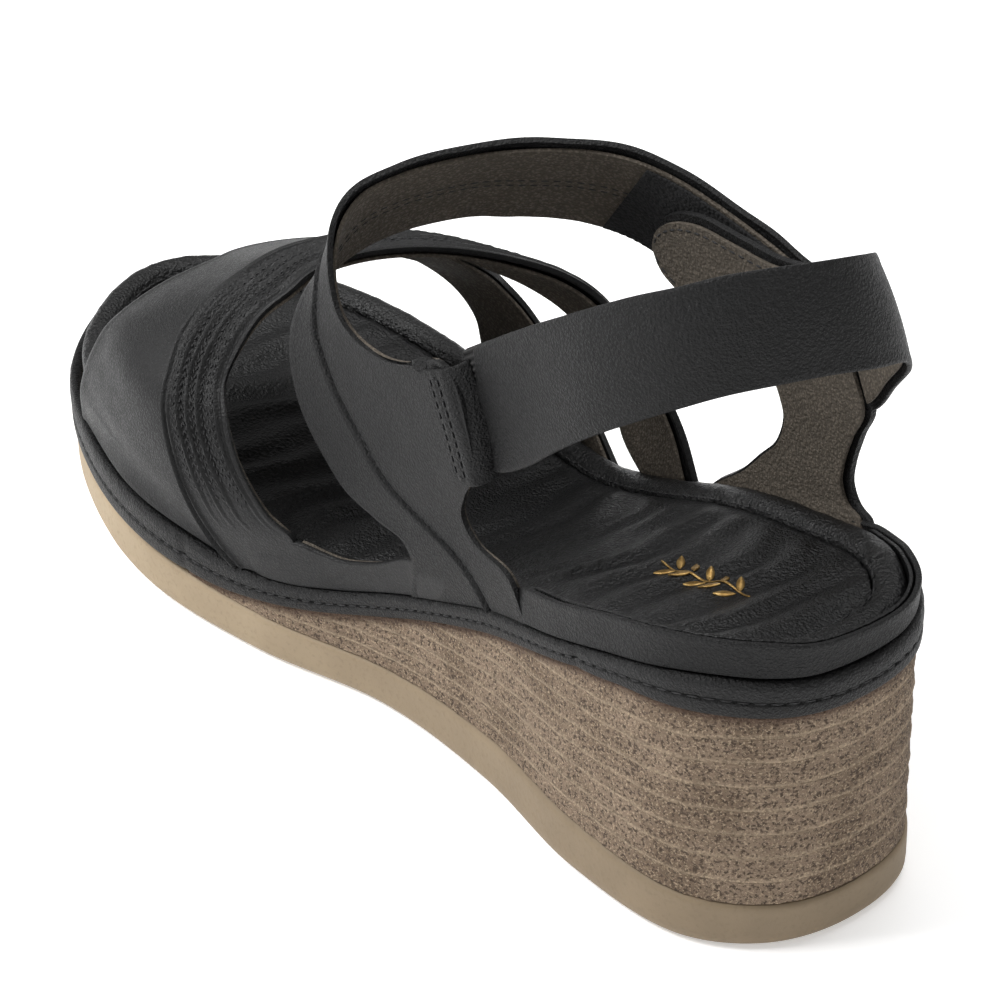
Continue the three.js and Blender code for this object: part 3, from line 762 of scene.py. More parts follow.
def make_outsole():
    corner_share = 0.3

    def side(rise, index):
        turn = np.clip(rise / corner_share, 0, 1) * math.pi / 2
        share = np.where(rise < corner_share, corner_share * (1 - np.cos(turn)), rise)
        inset = 2.6 * (1 - np.sin(turn)) - 0.25 + 0.5 * ease(rise, 0.9, 1)

        def height(y):
            return tread_height(y) + (outsole_height(y) - tread_height(y)) * share

        return inset, height, {"relief": 0 * rise}

    def under(y, share, width, x):
        grooves = np.maximum(0, np.cos(2 * math.pi * (y + 3 * np.cos(x / 6)) / 9)) ** 2
        inside = ease(np.minimum(share, 1 - share) * width, 6, 10) * ease(width, 30, 44)
        return tread_height(y) + 0.8 * grooves * inside

    outsole = sole_solid("outsole_tread", 12, side, 40,
                         lambda y, share, width, x: outsole_height(y), under, "tread")
    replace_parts(outsole, "outsole")


def make_wedge():
    front = int(np.argmax(EDGE[:SOLE_STEPS, 1] > WEDGE_FRONT))

    def side(rise, index):
        run, y = edge_run(index)
        low, high = outsole_height(y) + WEDGE_GAP, wedge_height(y)
        z = low + (high - low) * rise
        spacing = np.interp(y, (-115, -40, 20), (5.9, 4.1, 3.2))
        waved = z - low + 0.22 * waver(run, (37, 0.4), (19, 2.0), (11, 1.1))
        nearest = np.abs((waved / spacing) - np.rint(waved / spacing)) * spacing
        line = bump(nearest, 0.42) * (waved > 0.6 * spacing) * ease(high - z, 0.3, 1.2)
        inset = 0.35 - 0.28 * line + 0.12 * waver(z * 3 + run, (7.3, 0.2), (3.1, 1.4))
        # under marks painted shade near the wedge's top, under the rand
        return inset, lambda _: z, {"line": line, "under": 1 - ease(high - z, 0.3, 2.6)}

    wedge = sole_solid("wedge_sole", 96, side, 8,
                       lambda y, share, width, x: wedge_height(y),
                       lambda y, share, width, x: outsole_height(y) + WEDGE_GAP, "wedge", front)
    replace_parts(wedge, "wedge")


def make_rand():
    steps = 44
    stitch_share = 0.45
    insets = section_curve((2.3, 0.4, -0.35, -0.75, -0.9, -0.92, -0.45, -0.92, -0.95, -0.9, -0.6,
                            -0.15, 0.5, 1.3, 2.2), steps)
    shares = section_curve((0, 0, 0.03, 0.1, 0.22, 0.38, 0.45, 0.52, 0.68, 0.8, 0.9, 0.955,
                            0.965, 0.94, 0.9), steps)
    joint_runs = (186.0, 62.0)

    def level(y, share):
        return rand_foot(y) + (seam_height(y) - rand_foot(y)) * share

    def shape(j, run, y):
        share, inset = shares[j], insets[j]
        outside = ease(-inset, -0.2, 0.7)
        gather = waver(run, (4.6, 0.0), (7.9, 1.3), (3.1, 0.6)) * ease(share, 0.55, 0.95)
        dimple = waver(run, (3.2, 0.0)) * bump(share - stitch_share, 0.1)
        joints = sum(bump(run - at, 1.1) for at in joint_runs)
        inset = inset + outside * (0.17 * gather + 0.1 * dimple + 0.5 * joints)
        # The mark paints shade in the stitch groove, at the joints and along the top seam, and a
        # highlight band below the top.
        crease = (-1.2 * bump(share - stitch_share, 0.06) - 0.7 * joints
                  - 1.2 * bump(share - 0.97, 0.06) + 0.5 * bump(share - 0.7, 0.14))
        return (inset, lambda at: level(at, share) + 0.36 * gather * outside,
                {"relief": crease * outside})

    rand = sole_ring("rand_leather", steps, shape, "leather")
    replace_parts(rand, "rand_cover")
    made = bmesh.new()
    sew_round(made, RAND_STITCH, lambda y: level(y, stitch_share), 3.2, 2.5, width=0.6, height=0.55)
    stitching = make_piece("rand_stitching", made, "thread")
    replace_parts(stitching, "rand_thread")


def footbed_top(x, y):
    """The rippled top of the footbed."""
    low, high = (np.interp(y, *sorted_side(side, FOOTBED_EDGE)) for side in ("inner", "outer"))
    width = np.maximum(high - low, 0.1)
    share = np.clip((x - low) / width, 0, 1)
    bow = 4 * share * (1 - share) * np.minimum(1, width / 11)
    run = y + 3.0 * waver(x, (64, 0.7)) + 1.2 * waver(x + 0.4 * y, (27, 0.2)) + 0.0022 * x * x
    ripple = 0.72 * waver(run, (10.6, 0.0)) + 0.28 * waver(run + 0.12 * x, (7.3, 1.1), (15.7, 2.0))
    edge = ease(np.minimum(share, 1 - share) * width, 0, 6)
    return sock_height(y, bow) - 0.5 * (1 - edge) + (0.1 + 0.9 * edge) * 0.8 * ripple


def sorted_side(side, inset):
    """Rising y and the x of one side of the outline moved in by inset."""
    half = slice(0, SOLE_STEPS + 1) if side == "inner" else slice(SOLE_STEPS, 2 * SOLE_STEPS)
    line = (EDGE + INWARD * inset)[half]
    order = np.argsort(line[:, 1])
    return line[order, 1], line[order, 0]


def make_footbed():
    steps = 40
    insets = section_curve((2.6, 2.5, 2.7, 3.3, 4.3, 5.6, 6.9, 7.8, 8.4, 8.8, 9.1, 9.1), steps)
    drops = section_curve((6.0, 2.6, 1.5, 0.7, 0.15, 0, 0.25, 0.7, 1.35, 1.75, 2.6, 4.2), steps)
    long_gathers = ((5.3, 0.0), (8.7, 1.9))

    def shape(j, run, y):
        inset, drop = insets[j], drops[j]
        gather = waver(run, *long_gathers, (3.7, 0.8), (13.0, 0.3))
        roll = bump(inset - 8.2, 1.5) + 0.6 * bump(inset - 3.2, 1.2)
        # The mark paints shade in the crease inside the rim and highlight on the gathered rolls.
        crease = -0.9 * bump(inset - 8.9, 0.7) + 0.5 * gather * roll
        return (inset + 0.3 * gather * bump(inset - 8.2, 1.3),
                lambda at: rim_height(at) - (drop - 0.34 * gather * roll), {"relief": crease})

    rim = sole_ring("footbed_rim_padding", steps, shape, "footbed")
    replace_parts(rim, "footbed_rim")

    def under(y):
        return board_top(y) + FOAM_GAP

    def side(rise, index):
        run, _ = edge_run(index)
        inset = FOOTBED_EDGE + 0.25 * waver(run, *long_gathers) + 0.5 * ease(rise, 0.6, 1)
        # The side of the padding is painted dark all round, a painted shade under the rim.
        return (inset, lambda at: under(at) + (rim_height(at) - 2.2 - under(at)) * rise,
                {"relief": 0 * rise - 0.6})

    footbed = sole_solid("footbed_padding", 4, side, 56,
                         lambda y, share, width, x: footbed_top(x, y),
                         lambda y, share, width, x: under(y), "footbed")
    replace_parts(footbed, "sock", "footbed_foam")
    made = bmesh.new()
    sew_round(made, FOOTBED_STITCH, lambda y: rim_height(y) - 1.55, 2.6, 1.9, width=0.5, height=0.5)
    stitching = make_piece("footbed_stitching", made, "thread")
    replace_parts(stitching, "footbed_thread")


def make_gilt_motif():
    """A plain sprig of leaves printed on the heel of the footbed."""
    share = np.linspace(0, 1, 40)
    bulge = np.sin(math.pi * share)
    strokes = [(np.column_stack([0.6 * np.sin(2 * math.pi * share), 26 * share - 13]),
                0.16 + 0.1 * bulge)]
    lean = math.radians(46)
    for at in (-10, -5.6, -1.2, 3.2, 7.6):
        for side in (-1, 1):
            reach = 0.7 + 4.4 * share
            line = np.column_stack([side * reach * math.sin(lean), at + reach * math.cos(lean)])
            strokes.append((line, 0.1 + 0.75 * bulge))
    made = bmesh.new()
    for line, wide in strokes:
        line = line + MOTIF_MIDDLE
        ribbon = grid_mesh(len(line) - 1, 2,
                           lambda i, j, line=line, wide=wide: (gilt_place(line, wide, i, j), {}))
        mesh = to_mesh("ribbon", ribbon)
        made.from_mesh(mesh)
        bpy.data.meshes.remove(mesh)
    made.normal_update()
    bmesh.ops.reverse_faces(made, faces=[face for face in made.faces if face.normal.z < 0])
    motif = make_piece("gilt_flourish", made, "gilt", closed=False)
    wall = motif.modifiers.new("thickness", "SOLIDIFY")
    wall.thickness, wall.offset = 0.3 * MM, 0


def gilt_place(line, wide, i, j):
    i = i.astype(int)
    along = np.gradient(line, axis=0)
    along /= np.maximum(np.linalg.norm(along, axis=1, keepdims=True), 1e-9)
    place = line[i] + np.column_stack([-along[i, 1], along[i, 0]]) * ((j - 1) * wide[i])[:, None]
    return np.column_stack([place, footbed_top(place[:, 0], place[:, 1]) + 0.08])


# ---- stations of the uppers

FOREFOOT_INSIDE = (2, 40, 25)
ARCH_INSIDE = (2, -20, 60)
HEEL_INSIDE = (2, -70, 80)

PLEATED = [
    (foot("inner", 30), foot("inner", 12)),
    ((-40.6, 34.5, 26.5), (-34.8, 11.5, 36)), ((-41.4, 41, 33), (-36.5, 18, 40)),
    ((-41, 47.4, 42.4), (-37.3, 25.6, 47.5)), ((-38.8, 52.4, 51.6), (-36, 31.7, 56)),
    ((-34.5, 55.5, 56.6), (-33, 36.4, 60.5)), ((-29, 58.3, 61.4), (-28.5, 37, 67)),
    ((-22, 59.4, 65), (-23, 36, 73.5)), ((-13, 59.4, 68), (-17, 33.6, 78)),
    ((-4, 58.7, 70.2), (-12, 33, 80.6)), ((6, 54.5, 71.6), (-5, 30.3, 82.6)),
    ((15, 48.5, 72.6), (4, 24.9, 83.6)), ((23.5, 40.5, 71.3), (15, 18.6, 82)),
    ((31, 31.7, 67.6), (24.5, 11, 79.4)), ((36.2, 22.7, 64.6), (31.5, 4.4, 76.2)),
    ((39.7, 13.7, 60.3), (36, -1.2, 71.8)), ((41, 5.5, 53.5), (38.6, -10.5, 64)),
    ((40.6, -0.5, 45.5), (38.8, -18.5, 56.5)), ((39.6, -5, 38), (38.2, -25.5, 49.5)),
    (foot("outer", -12.5), foot("outer", -31.5)),
]

TOE_FRONT = [
    foot("inner", 94), (-35.2, 92.7, 33), (-34.3, 91, 39.5), (-32.5, 89.3, 45),
    (-30, 88.3, 48.8), (-27, 87.3, 51.2), (-22.5, 86.7, 53.2), (-17, 86, 55),
    (-11, 85, 56.3), (-4.5, 84.3, 57), (2, 85.5, 56.4), (9, 84.5, 56), (17, 79, 56.8),
    (25, 70.5, 57.8), (31.5, 61.5, 57.4), (38, 53.4, 51.6), (42.6, 49.8, 42.5),
    (44.2, 49.4, 34), foot("outer", 48),
]
TOE_REAR_OUTER = [
    (33.6, 33.8, 64), (38.8, 33.5, 57.7), (42.2, 30, 51.5), (43.8, 20, 42),
    (43, 8.5, 34), foot("outer", -1),
]

QUARTER = [
    (foot("inner", -60), foot("inner", -45), foot("inner", -19)),
    ((-29.6, -55, 61.2), (-28.2, -41, 52.4), (-28.2, -21.3, 46)),
    ((-28.8, -43.5, 62.5), (-28.2, -34, 55.5), (-28.6, -18.8, 49.8)),
    ((-28.6, -39, 67), (-28.2, -27, 57), (-29, -11.9, 50.4)),
    ((-29.3, -41, 73), (-28.4, -21.8, 58.6), (-29, -4.5, 51.5)),
    ((-30.3, -46, 82), (-28.4, -14.8, 61), (-29, 1.5, 53.2)),
    ((-30.8, -44.6, 91.5), (-28.4, -9, 64), (-29, 6.7, 56.2)),
    ((-30.5, -39.5, 100.2), (-28.2, -4.6, 67.4), (-28.8, 11.5, 60.5)),
    ((-30, -34, 101.2), (-28, -0.5, 71), (-28.5, 15.5, 65.5)),
    ((-29.6, -24, 95.2), (-27.8, 4, 75), (-28, 18.3, 70)),
    ((-29, -14, 91.6), (-27.3, 8, 79.6), (-27.2, 20, 75.5)),
    ((-28, -2.8, 91.4), (-26.2, 11.7, 84), (-25.6, 20.8, 81.5)),
    ((-26.5, 4, 93.8), (-24.4, 14, 89.2), (-22.5, 21.4, 86)),
    ((-25, 7.9, 101.3), (-21.6, 15.8, 94.6), (-18.5, 21.4, 88.8)),
    ((-22, 9, 110), (-17.5, 15.8, 100), (-13.5, 20.6, 91)),
    ((-17, 8.8, 114.8), (-12, 15.2, 103.6), (-7.5, 20, 92.7)),
    ((-9, 6.3, 117.6), (-4.6, 13, 105.8), (-1, 18.8, 93.8)),
    ((-0.5, 3, 118.9), (3, 10, 107), (6, 16.6, 94.4)),
    ((10, -2.2, 119.6), (12, 6, 107.4), (13.5, 13.3, 94.6)),
    ((19.5, -9.6, 120), (20.6, -0.8, 107.4), (21, 8, 94.3)),
    ((25.5, -14.9, 119.5), (26.8, -6, 107), (27, 3, 93.9)),
    ((30.7, -21.4, 118.2), (32, -12.2, 106), (32.2, -3.2, 93.3)),
    ((34.9, -29, 115.8), (36.2, -19.7, 104), (36.5, -10.5, 91.9)),
    ((37.5, -38.3, 113), (38.8, -28.1, 101.6), (39.3, -18, 89.5)),
    ((38.6, -49.2, 110.8), (39.9, -39.1, 99.4), (40.4, -29, 87.3)),
    ((39, -59.6, 108.8), (40.2, -51.3, 97.6), (40.7, -43, 86)),
    ((39, -68, 107), (40.1, -62.5, 96.3), (40.6, -57, 85.6)),
    ((38.6, -74.5, 105), (39.6, -72.4, 95.8), (40.1, -69, 86.8)),
]

ARCH = [
    (foot("inner", 11.3), (-34.7, 10.7, 36)), (foot("inner", 5.5), (-32.8, 5.3, 35.4)),
    (foot("inner", 0), (-31.3, 0.5, 35.4)), (foot("inner", -5.5), (-29.9, -5.3, 37.3)),
    (foot("inner", -11.5), (-28.9, -10.6, 39.8)), (foot("inner", -18.2), (-28.1, -18.2, 44.6)),
]

ANKLE = [
    ((33, -23.2, 99.4), (33.6, -23.4, 94.6)), ((32.4, -25, 103.8), (33.8, -25.4, 90.8)),
    ((32.2, -29.6, 107.8), (34, -30.2, 88.2)), ((32.4, -37, 110.4), (34, -37.5, 86.3)),
    ((32.5, -49, 111), (34, -50, 84.4)), ((32.4, -60, 111.6), (33.6, -63, 85)),
    ((32, -69, 114), (32.8, -77, 87.3)), ((30.6, -77.5, 118.8), (31.2, -89.3, 91)),
    ((28.4, -85.5, 124.6), (29, -97, 101)), ((24.8, -93, 130.6), (26, -103.3, 109)),
    ((18.5, -98.6, 135.7), (20.5, -107.4, 115.4)), ((11, -100.6, 139), (12.5, -108.8, 118.4)),
    ((3, -99.6, 140.6), (3.5, -107, 120)), ((-5, -96.8, 141.2), (-6, -103.6, 120.2)),
    ((-12, -93, 140.6), (-14.2, -98.6, 118.8)), ((-17.5, -88.6, 138.6), (-20.2, -93, 115.7)),
    ((-21.5, -82.6, 135.6), (-24.4, -86.6, 111.4)), ((-24.5, -75.2, 131), (-27.2, -78.6, 105.5)),
    ((-26.4, -66.6, 125.2), (-28.3, -69, 97.4)), ((-27, -56.4, 118), (-27.6, -58.8, 88.2)),
    ((-27, -46.6, 110.6), (-27.3, -49.6, 82)), ((-26.9, -38, 103.8), (-27, -40, 79.4)),
]

# The folded tab on the inner quarter, from its lower end up: over the front, round the fold
# and in behind the back strap.
KEEPER = [
    ((-32.6, -40.3, 77.8), (-32.9, -43.6, 78.2), (-32.6, -46.6, 78.7), (-30.4, -48.3, 79.6),
     (-27.6, -48.8, 80.2)),
    ((-32.9, -36.6, 87), (-33.3, -40.3, 87.8), (-33, -43.9, 88.6), (-30.8, -46, 89.5),
     (-28, -46.8, 90.2)),
    ((-32.6, -31.2, 98.2), (-32.9, -34.2, 99.7), (-32.5, -37.1, 101.2), (-30.3, -39.4, 102.3),
     (-27.7, -40.2, 103.2)),
]

# The outer quarter in one piece: up the stem from the platform, then forward along the tab.
OUTER_QUARTER = [
    (foot("outer", -37), foot("outer", -92)),
    ((36, -39.8, 46.8), (31.6, -89.6, 65.8)), ((35.4, -48, 54.3), (32.4, -85.3, 66.6)),
    ((34.9, -54.4, 61.9), (32.5, -83.2, 70.4)), ((34.5, -59.3, 67.8), (32.5, -83.6, 75.4)),
    ((34.2, -61.4, 74.6), (32.2, -86, 83)), ((34.1, -60.5, 78), (31.4, -89.4, 91.2)),
    ((34.1, -59, 81), (30.9, -83.5, 105)), ((34, -57, 83), (30.7, -77.6, 118.4)),
    ((34, -54, 84), (32, -69, 114)), ((34, -50, 84.4), (32.4, -60, 111.6)),
    ((34, -43, 85.3), (32.5, -49, 111)), ((34, -37.5, 86.3), (32.4, -37, 110.4)),
    ((34, -30.2, 88.2), (32.2, -29.6, 107.8)), ((33.8, -25.4, 90.8), (32.4, -25, 103.8)),
    ((33.6, -23.4, 94.6), (33, -23.2, 99.4)),
]

COUNTER = [
    ("inner", -50, 55.5), ("inner", -56, 58.6), ("inner", -60.8, 61.6), ("inner", -72, 65.4),
    ("inner", -86, 70.5), ("inner", -97, 73.4), ("inner", -108, 74.8), ("inner", -115, 74.2),
    ("inner", -119, 72.4), ("outer", -119, 71), ("outer", -114, 70.6), ("outer", -105, 69.4),
    ("outer", -98, 67.4), ("outer", -92.8, 66.2), ("outer", -86, 64.2),
]


def toe_stations():
    shared = len(TOE_FRONT) - len(TOE_REAR_OUTER)
    stations = []
    for i, front in enumerate(TOE_FRONT):
        ahead, behind = (np.array(p) for p in PLEATED[min(i, shared - 1)])
        tucked = ahead + (behind - ahead) * 1.5 / np.linalg.norm(behind - ahead)
        rear = tucked if i < shared else np.array(TOE_REAR_OUTER[i - shared])
        front = np.array(front)
        stations.append([front, (front + rear) / 2, rear])
    stations[0][1], stations[-1][1] = np.array(foot("inner", 62)), np.array(foot("outer", 24))
    return stations


def toe_crown(t, v):
    bulge = 3 * ease(t, -0.6, 1) * (1 - ease(t, 3.5, 8.5))
    return 4 * v * (1 - v) * bulge * np.minimum(1, np.minimum(t, 18 - t))


def pleated_crown(t, v):
    return 4.8 * v * (1 - v) * ease(t, 0, 2) * (1 - ease(t, 17.5, 19))


def arch_stations():
    """The arch runs on over the foot of the pleated band and of the quarter."""
    def over(pattern, *places):
        return [(foot("inner", y), pattern.point(np.array([1.0]), np.array([v]))[0].tolist())
                for y, v in places]

    return (over(pleated_pattern, (27, 0.15), (22, 0.42), (16.5, 0.7)) + ARCH
            + over(quarter_pattern, (-24, 0.86), (-31, 0.7), (-38, 0.58)))


def ankle_crown(t, v):
    return 4 * v * (1 - v) * 0.8 * ease(t, 7, 9) * (1 - ease(t, 17, 19))


toe_pattern = Pattern(toe_stations(), FOREFOOT_INSIDE, toe_crown)
pleated_pattern = Pattern(PLEATED, FOREFOOT_INSIDE, pleated_crown)
quarter_pattern = Pattern(QUARTER, ARCH_INSIDE)
arch_pattern = Pattern(arch_stations(), ARCH_INSIDE)
ankle_pattern = Pattern(ANKLE, HEEL_INSIDE, ankle_crown)
outer_pattern = Pattern(OUTER_QUARTER, HEEL_INSIDE)
keeper_pattern = Pattern(KEEPER, (0, -40, 90))
counter_pattern = Pattern(
    [(foot(side, y), foot(side, y)[:2] + (top,)) for side, y, top in COUNTER], HEEL_INSIDE)


# ---- uppers

def turned_edges(v, width, rise=0.14):
    """A soft roll along both long edges of a piece, with a painted highlight along it."""
    d = np.minimum(v, 1 - v) * width
    return rise * bump(d - 1.1, 1.0), 0.25 * bump(d - 0.6, 0.6)


def patch_relief(level, spacing):
    """Rows of small lumps on a hook or loop patch."""
    def relief(t, v, run, width):
        return level * waver(run, (spacing, 0)) * waver(v * width, (spacing, 0)), 0 * t
    return relief


def make_toe_band():
    def toe_relief(t, v, run, width):
        roll, mark = turned_edges(v, width, 0.2)
        soft = 0.3 * waver(run + 9 * v, (31, 0.4), (17, 1.2)) * v * (1 - v) * 2
        return roll * (v < 0.5) + soft, mark * (v < 0.5)

    add_leather("toe_band_leather", toe_pattern, "smooth", "toe_band", relief=toe_relief)
    add_lining("toe_band_inside", toe_pattern, "toe_band_lining", 2.0, across=(0.015, 0.985))


def make_pleated_band():
    tucks = (0.3, 0.465, 0.63, 0.885)
    rows = ((0.145, 0.0), (0.185, 0.4), (0.225, 0.8), (0.262, 0.2), (0.345, 0.5), (0.382, 0.1),
            (0.42, 0.7), (0.51, 0.3), (0.548, 0.6), (0.585, 0.0), (0.675, 0.9), (0.715, 0.4),
            (0.755, 0.1), (0.795, 0.6), (0.835, 0.3))

    def drift(run, v):
        return 0.3 * waver(run + 12 * v, (41, 0.0), (23, 2.0))

    def pleat_relief(t, v, run, width):
        """A ridged front edge, tucks and rows of stitch holes, from the third station on, with a
        mark that paints highlight on the ridges and tucks and shade in the grooves and along the
        stitch rows.
        """
        reach = ease(t, 1.0, 3.6)
        d = v * width
        lift = 0.9 * bump(d - 0.7, 0.6) + 0.6 * bump(d - 2.7, 0.5) - 0.3 * bump(d - 1.7, 0.35)
        mark = 0.2 * bump(d - 0.7, 0.5) - 1.6 * bump(d - 1.75, 0.42) - 1.3 * bump(d - 3.5, 0.42)
        for at in tucks:
            off = (v - at) * width + drift(run, at)
            lift = lift + reach * (0.75 * bump(off, 0.5) - 0.3 * bump(np.abs(off) - 1.0, 0.4))
            mark = mark + reach * (0.5 * bump(off, 0.4) - 1.3 * bump(np.abs(off) - 0.95, 0.36))
        for at, _ in rows:
            off = (v - at) * width + drift(run, at)
            lift = lift - 0.14 * reach * bump(off, 0.35)
            mark = mark - 0.35 * reach * bump(off, 0.3)
        lift = lift + 0.3 * bump((1 - v) * width - 0.9, 0.9) * ease(t, 1.0, 2.0)
        sewn = ease(v, 0.1, 0.16) * (1 - ease(v, 0.84, 0.88))
        return lift + 0.1 * waver(run, (1.9, 0.0), (3.1, 1.0)) * reach * sewn, mark

    pleated = cut("pleated_band_leather", pleated_pattern, "smooth", GOOD_SIDE + 0.35, LEATHER,
                  spacing=0.42, across=(-0.015, 1), relief=pleat_relief)
    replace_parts(pleated, "pleated_band")
    add_lining("pleated_band_inside", pleated_pattern, "pleated_band_lining", 2.0, inset=(1.5, 1.9))
    made = bmesh.new()
    last = pleated_pattern.last
    length = pleated_pattern.even(0, last, np.array([0]))[1]
    for n, (at, offset) in enumerate(rows):
        def across(t, at=at):
            return at - drift(length * t / last, at) / pleated_pattern.width(t)
        sew_pattern(made, pleated_pattern, 2.0 + 0.7 * offset, last - 0.4, across,
                    GOOD_SIDE + 0.3, 1.75, 1.25, width=0.42, height=0.4,
                    slant=0.55 if n % 2 else -0.55)
    for off in (1.75, 3.5):
        sew_pattern(made, pleated_pattern, 0.3, last - 0.3,
                    lambda t, off=off: off / pleated_pattern.width(t),
                    GOOD_SIDE + 0.2, 1.9, 1.5, width=0.42, height=0.4)
    make_piece("pleated_band_stitching", made, "thread")


def make_arch():
    def arch_relief(t, v, run, width):
        last = arch_pattern.last
        ends = ease(t, 0, 1.6) * (1 - ease(t, last - 1.6, last))
        over_band, over_quarter = 1 - ease(t, 2.6, 4.4), ease(t, 8, 8.8)
        open_edge = ease(t, 2, 3) * (1 - ease(t, 8, 9))
        lift = 0.05 + 0.42 * over_band + 0.3 * over_quarter - 0.9 * (1 - ends)
        lift = lift - 0.85 * (1 - open_edge) * ease(v, 0.55, 1)
        # the mark is a painted highlight along the open edge
        return lift, 0.3 * bump((1 - v) * width, 0.6) * open_edge

    add_leather("arch_strip_leather", arch_pattern, "smooth", "arch_strip", spacing=0.7,
                relief=arch_relief)
    add_lining("arch_strip_inside", arch_pattern, "arch_strip_lining", 1.5, span=(3, 8),
               inset=(0, 0.9))


def make_quarter_and_strap():
    groove = 0.95

    def relief(t, v, run, width):
        roll, mark = turned_edges(v, width)
        off = (v - 0.5) * width
        tuck = 0.6 * bump(off, 0.5) - 0.6 * bump(np.abs(off) - 1.0, 0.36)
        # painted highlight on the tuck and painted shade in the grooves beside it
        mark = mark + 0.3 * bump(off, 0.4) - 1.7 * bump(np.abs(off) - 1.0, 0.34)
        soft = 0.25 * waver(run + 6 * v, (29, 0.3), (18, 1.1))
        return roll + tuck + soft, mark

    leather = cut("quarter_and_strap_leather", quarter_pattern, "leather", GOOD_SIDE, LEATHER,
                  spacing=0.75, seam_fine=0.75, relief=relief, body=None)
    lining = cut("quarter_and_strap_lining", quarter_pattern, "lining", -GAP, LINING,
                 spacing=1.2, inset=(1.8, 1.8), edge=SOFT_EDGE, body=None)
    made = bmesh.new()
    last = quarter_pattern.last
    for off in (-groove, groove):
        def beside(t, off=off):
            return 0.5 + off / quarter_pattern.width(t, 0.5 + 0.1 * off)
        sew_pattern(made, quarter_pattern, 0.2, last - 0.2, beside, GOOD_SIDE - 0.42, 2.1, 1.7,
                    width=0.4, height=0.35)
        sew_pattern(made, quarter_pattern, 0.6, last - 0.3, beside, LINING_BACK, 2.4, 1.7,
                    side=-1, width=0.4, height=0.35)
    stitching = make_piece("quarter_and_strap_stitching", made, "thread", body=None)
    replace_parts(leather, "inner_quarter", "inner_quarter_front", "strap_rear_panel",
                "strap_front_panel")
    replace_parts(lining, "inner_quarter_lining", "strap_lining")
    for piece in (leather, lining, stitching):
        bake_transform(piece)
    hook = cut("hook_patch_fuzz", quarter_pattern, "patch", LINING_BACK - 0.1, 0.6, spacing=0.9,
               span=(21.3, last - 0.4), across=(0.08, 0.92), edge=0.15, body="strap",
               relief=patch_relief(0.1, 1.9))
    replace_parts(hook, "hook_patch")


def make_ankle():
    def edge_relief(t, v, run, width):
        return turned_edges(v, width)

    add_leather("outer_quarter_leather", outer_pattern, "leather", "outer_quarter",
                relief=edge_relief)
    add_lining("outer_quarter_inside", outer_pattern, "outer_quarter_lining", 1.2, inset=(2.0, 1.8))
    loop = cut("loop_patch_fuzz", ankle_pattern, "patch", GOOD_SIDE + 0.75, 0.6, spacing=0.9,
               span=(1, 6.6), across=(0.1, 0.9), edge=0.15, relief=patch_relief(0.12, 1.7))
    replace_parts(loop, "loop_patch")
    add_leather("back_strap_leather", ankle_pattern, "leather", "back_strap",
                span=(7.03, 20.55), relief=edge_relief)
    add_lining("back_strap_inside", ankle_pattern, "back_strap_lining", 1.2, span=(7.1, 19.5),
               inset=(1.8, 1.8))

    def ribs(t, v, run, width):
        rib = waver(v * width, (1.5, 0.0))
        # the rib mark paints the elastic light on the crests and dark between them, as painted
        # highlight and shade
        return 0.2 * rib, rib

    gore = cut("elastic_gore_web", ankle_pattern, "elastic", 0.75, 1.5, spacing=0.4,
               span=(20.2, 21), relief=ribs, edge=0.3)
    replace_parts(gore, "elastic_gore")
    made = bmesh.new()
    for edge in (0, 1):
        def along_edge(t, edge=edge):
            return edge + (1 - 2 * edge) * 3.4 / outer_pattern.width(t)
        for lift, side in ((LINING_BACK, -1), (GOOD_SIDE - 0.1, 1)):
            sew_pattern(made, outer_pattern, 8.5, outer_pattern.last - 0.5, along_edge, lift,
                        2.6, 1.9, side)
    make_piece("ankle_stitching", made, "thread")


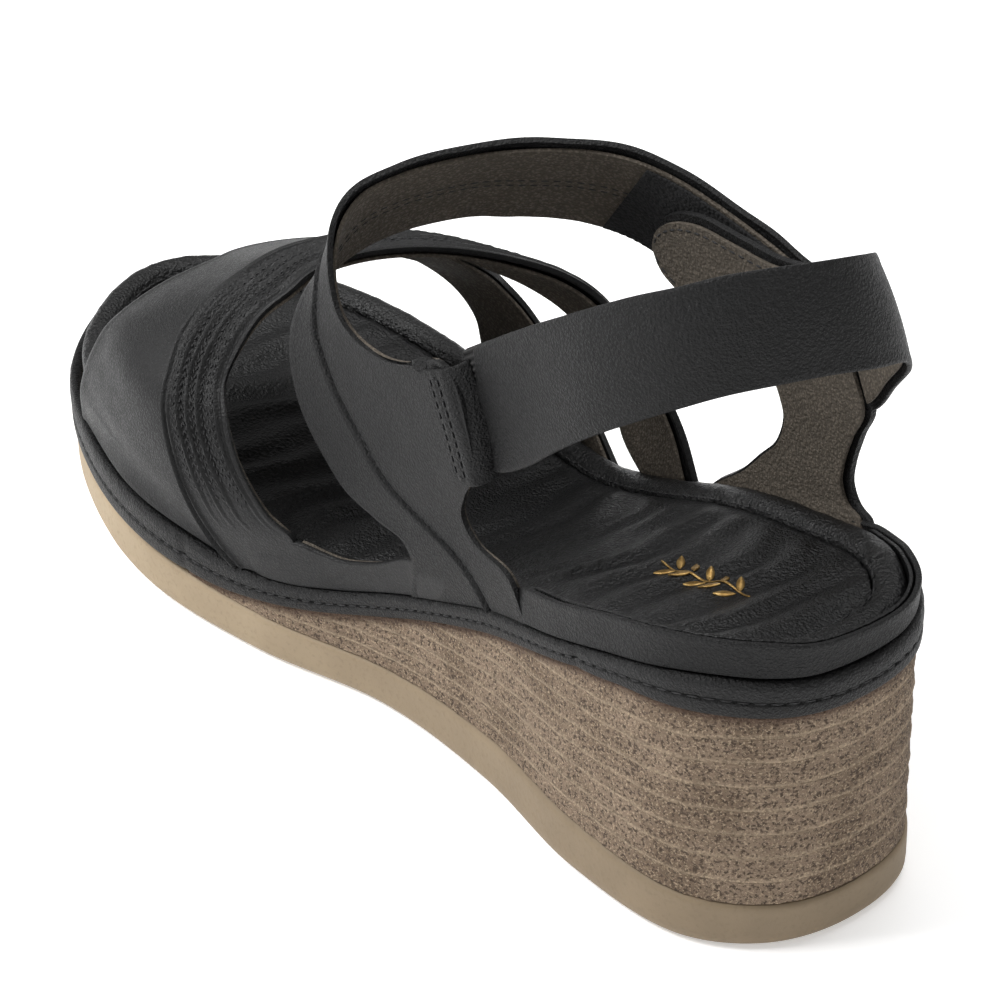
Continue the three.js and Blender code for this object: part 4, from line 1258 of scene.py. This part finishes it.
def make_keeper():
    """The folded tab that holds the end of the back strap on the inner quarter."""
    rows = (0.13, 0.33)

    def relief(t, v, run, width):
        holes = sum(bump(v - at, 0.035) for at in rows)
        # painted shade along the sunk rows of stitch holes
        return -0.45 * holes, -1.6 * holes

    cut("back_strap_keeper", keeper_pattern, "leather", 0, LEATHER, spacing=0.6, relief=relief)
    made = bmesh.new()
    ends = (0.12, keeper_pattern.last - 0.12)
    for at in rows:
        sew_pattern(made, keeper_pattern, *ends, at, -0.12, 2.1, 1.6, width=0.45)
    v = np.linspace(*rows, 40)
    for at in ends:
        t = np.full(40, at)
        sew(made, keeper_pattern.point(t, v, -0.05), keeper_pattern.turned(t, v), 2.1, 1.6, 0.45)
    make_piece("keeper_stitching", made, "thread")


def make_heel_counter():
    def relief(t, v, run, width):
        d = (1 - v) * width
        last = counter_pattern.last
        tucked = ease(t, last - 1.1, last) + 1 - ease(t, 0, 1.3)
        over_quarter = (0.4 * (1 - ease(t, 2.4, 4))
                        - 0.9 * (1 - ease(t, 1.2, 2.2)) * ease(v, 0.55, 1))
        # the mark is a painted highlight along the top edge
        return 0.2 * bump(d - 0.9, 0.9) + over_quarter - tucked, 0.3 * bump(d - 0.6, 0.6)

    add_leather("heel_counter_leather", counter_pattern, "leather", "heel_counter",
                spacing=0.8, relief=relief)
    add_lining("heel_counter_inside", counter_pattern, "heel_counter_lining", 1.0, "footbed",
               span=(2, counter_pattern.last - 1), inset=(0, 0.3))


def dress_inner_layers():
    """The board and the core stay as the frame has them, with their own finish."""
    for node, finish in (("platform_core", "foam"), ("insole_board", "board")):
        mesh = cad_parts[node].data
        mesh.materials.clear()
        mesh.materials.append(FINISHES[finish])


def make_floor():
    made = bmesh.new()
    bmesh.ops.create_grid(made, x_segments=1, y_segments=1, size=6)
    mesh = to_mesh("floor", made)
    f = Finish("floor_white")
    fine = f.noise(40, 2)
    white = f.mix(fine, (0.92, 0.92, 0.92, 1), (0.94, 0.94, 0.94, 1))
    mesh.materials.append(f.finish(white, 0.9 + fine * 0.05, fine, 0.01,
                                   Emission_Color=(1, 1, 1, 1), Emission_Strength=0.36))
    add_object("floor", mesh)


set_camera()
set_studio()
make_floor()
make_outsole()
make_wedge()
make_rand()
make_footbed()
make_gilt_motif()
make_toe_band()
make_pleated_band()
make_arch()
make_quarter_and_strap()
make_ankle()
make_keeper()
make_heel_counter()
dress_inner_layers()
bpy.data.meshes.remove(STITCH)
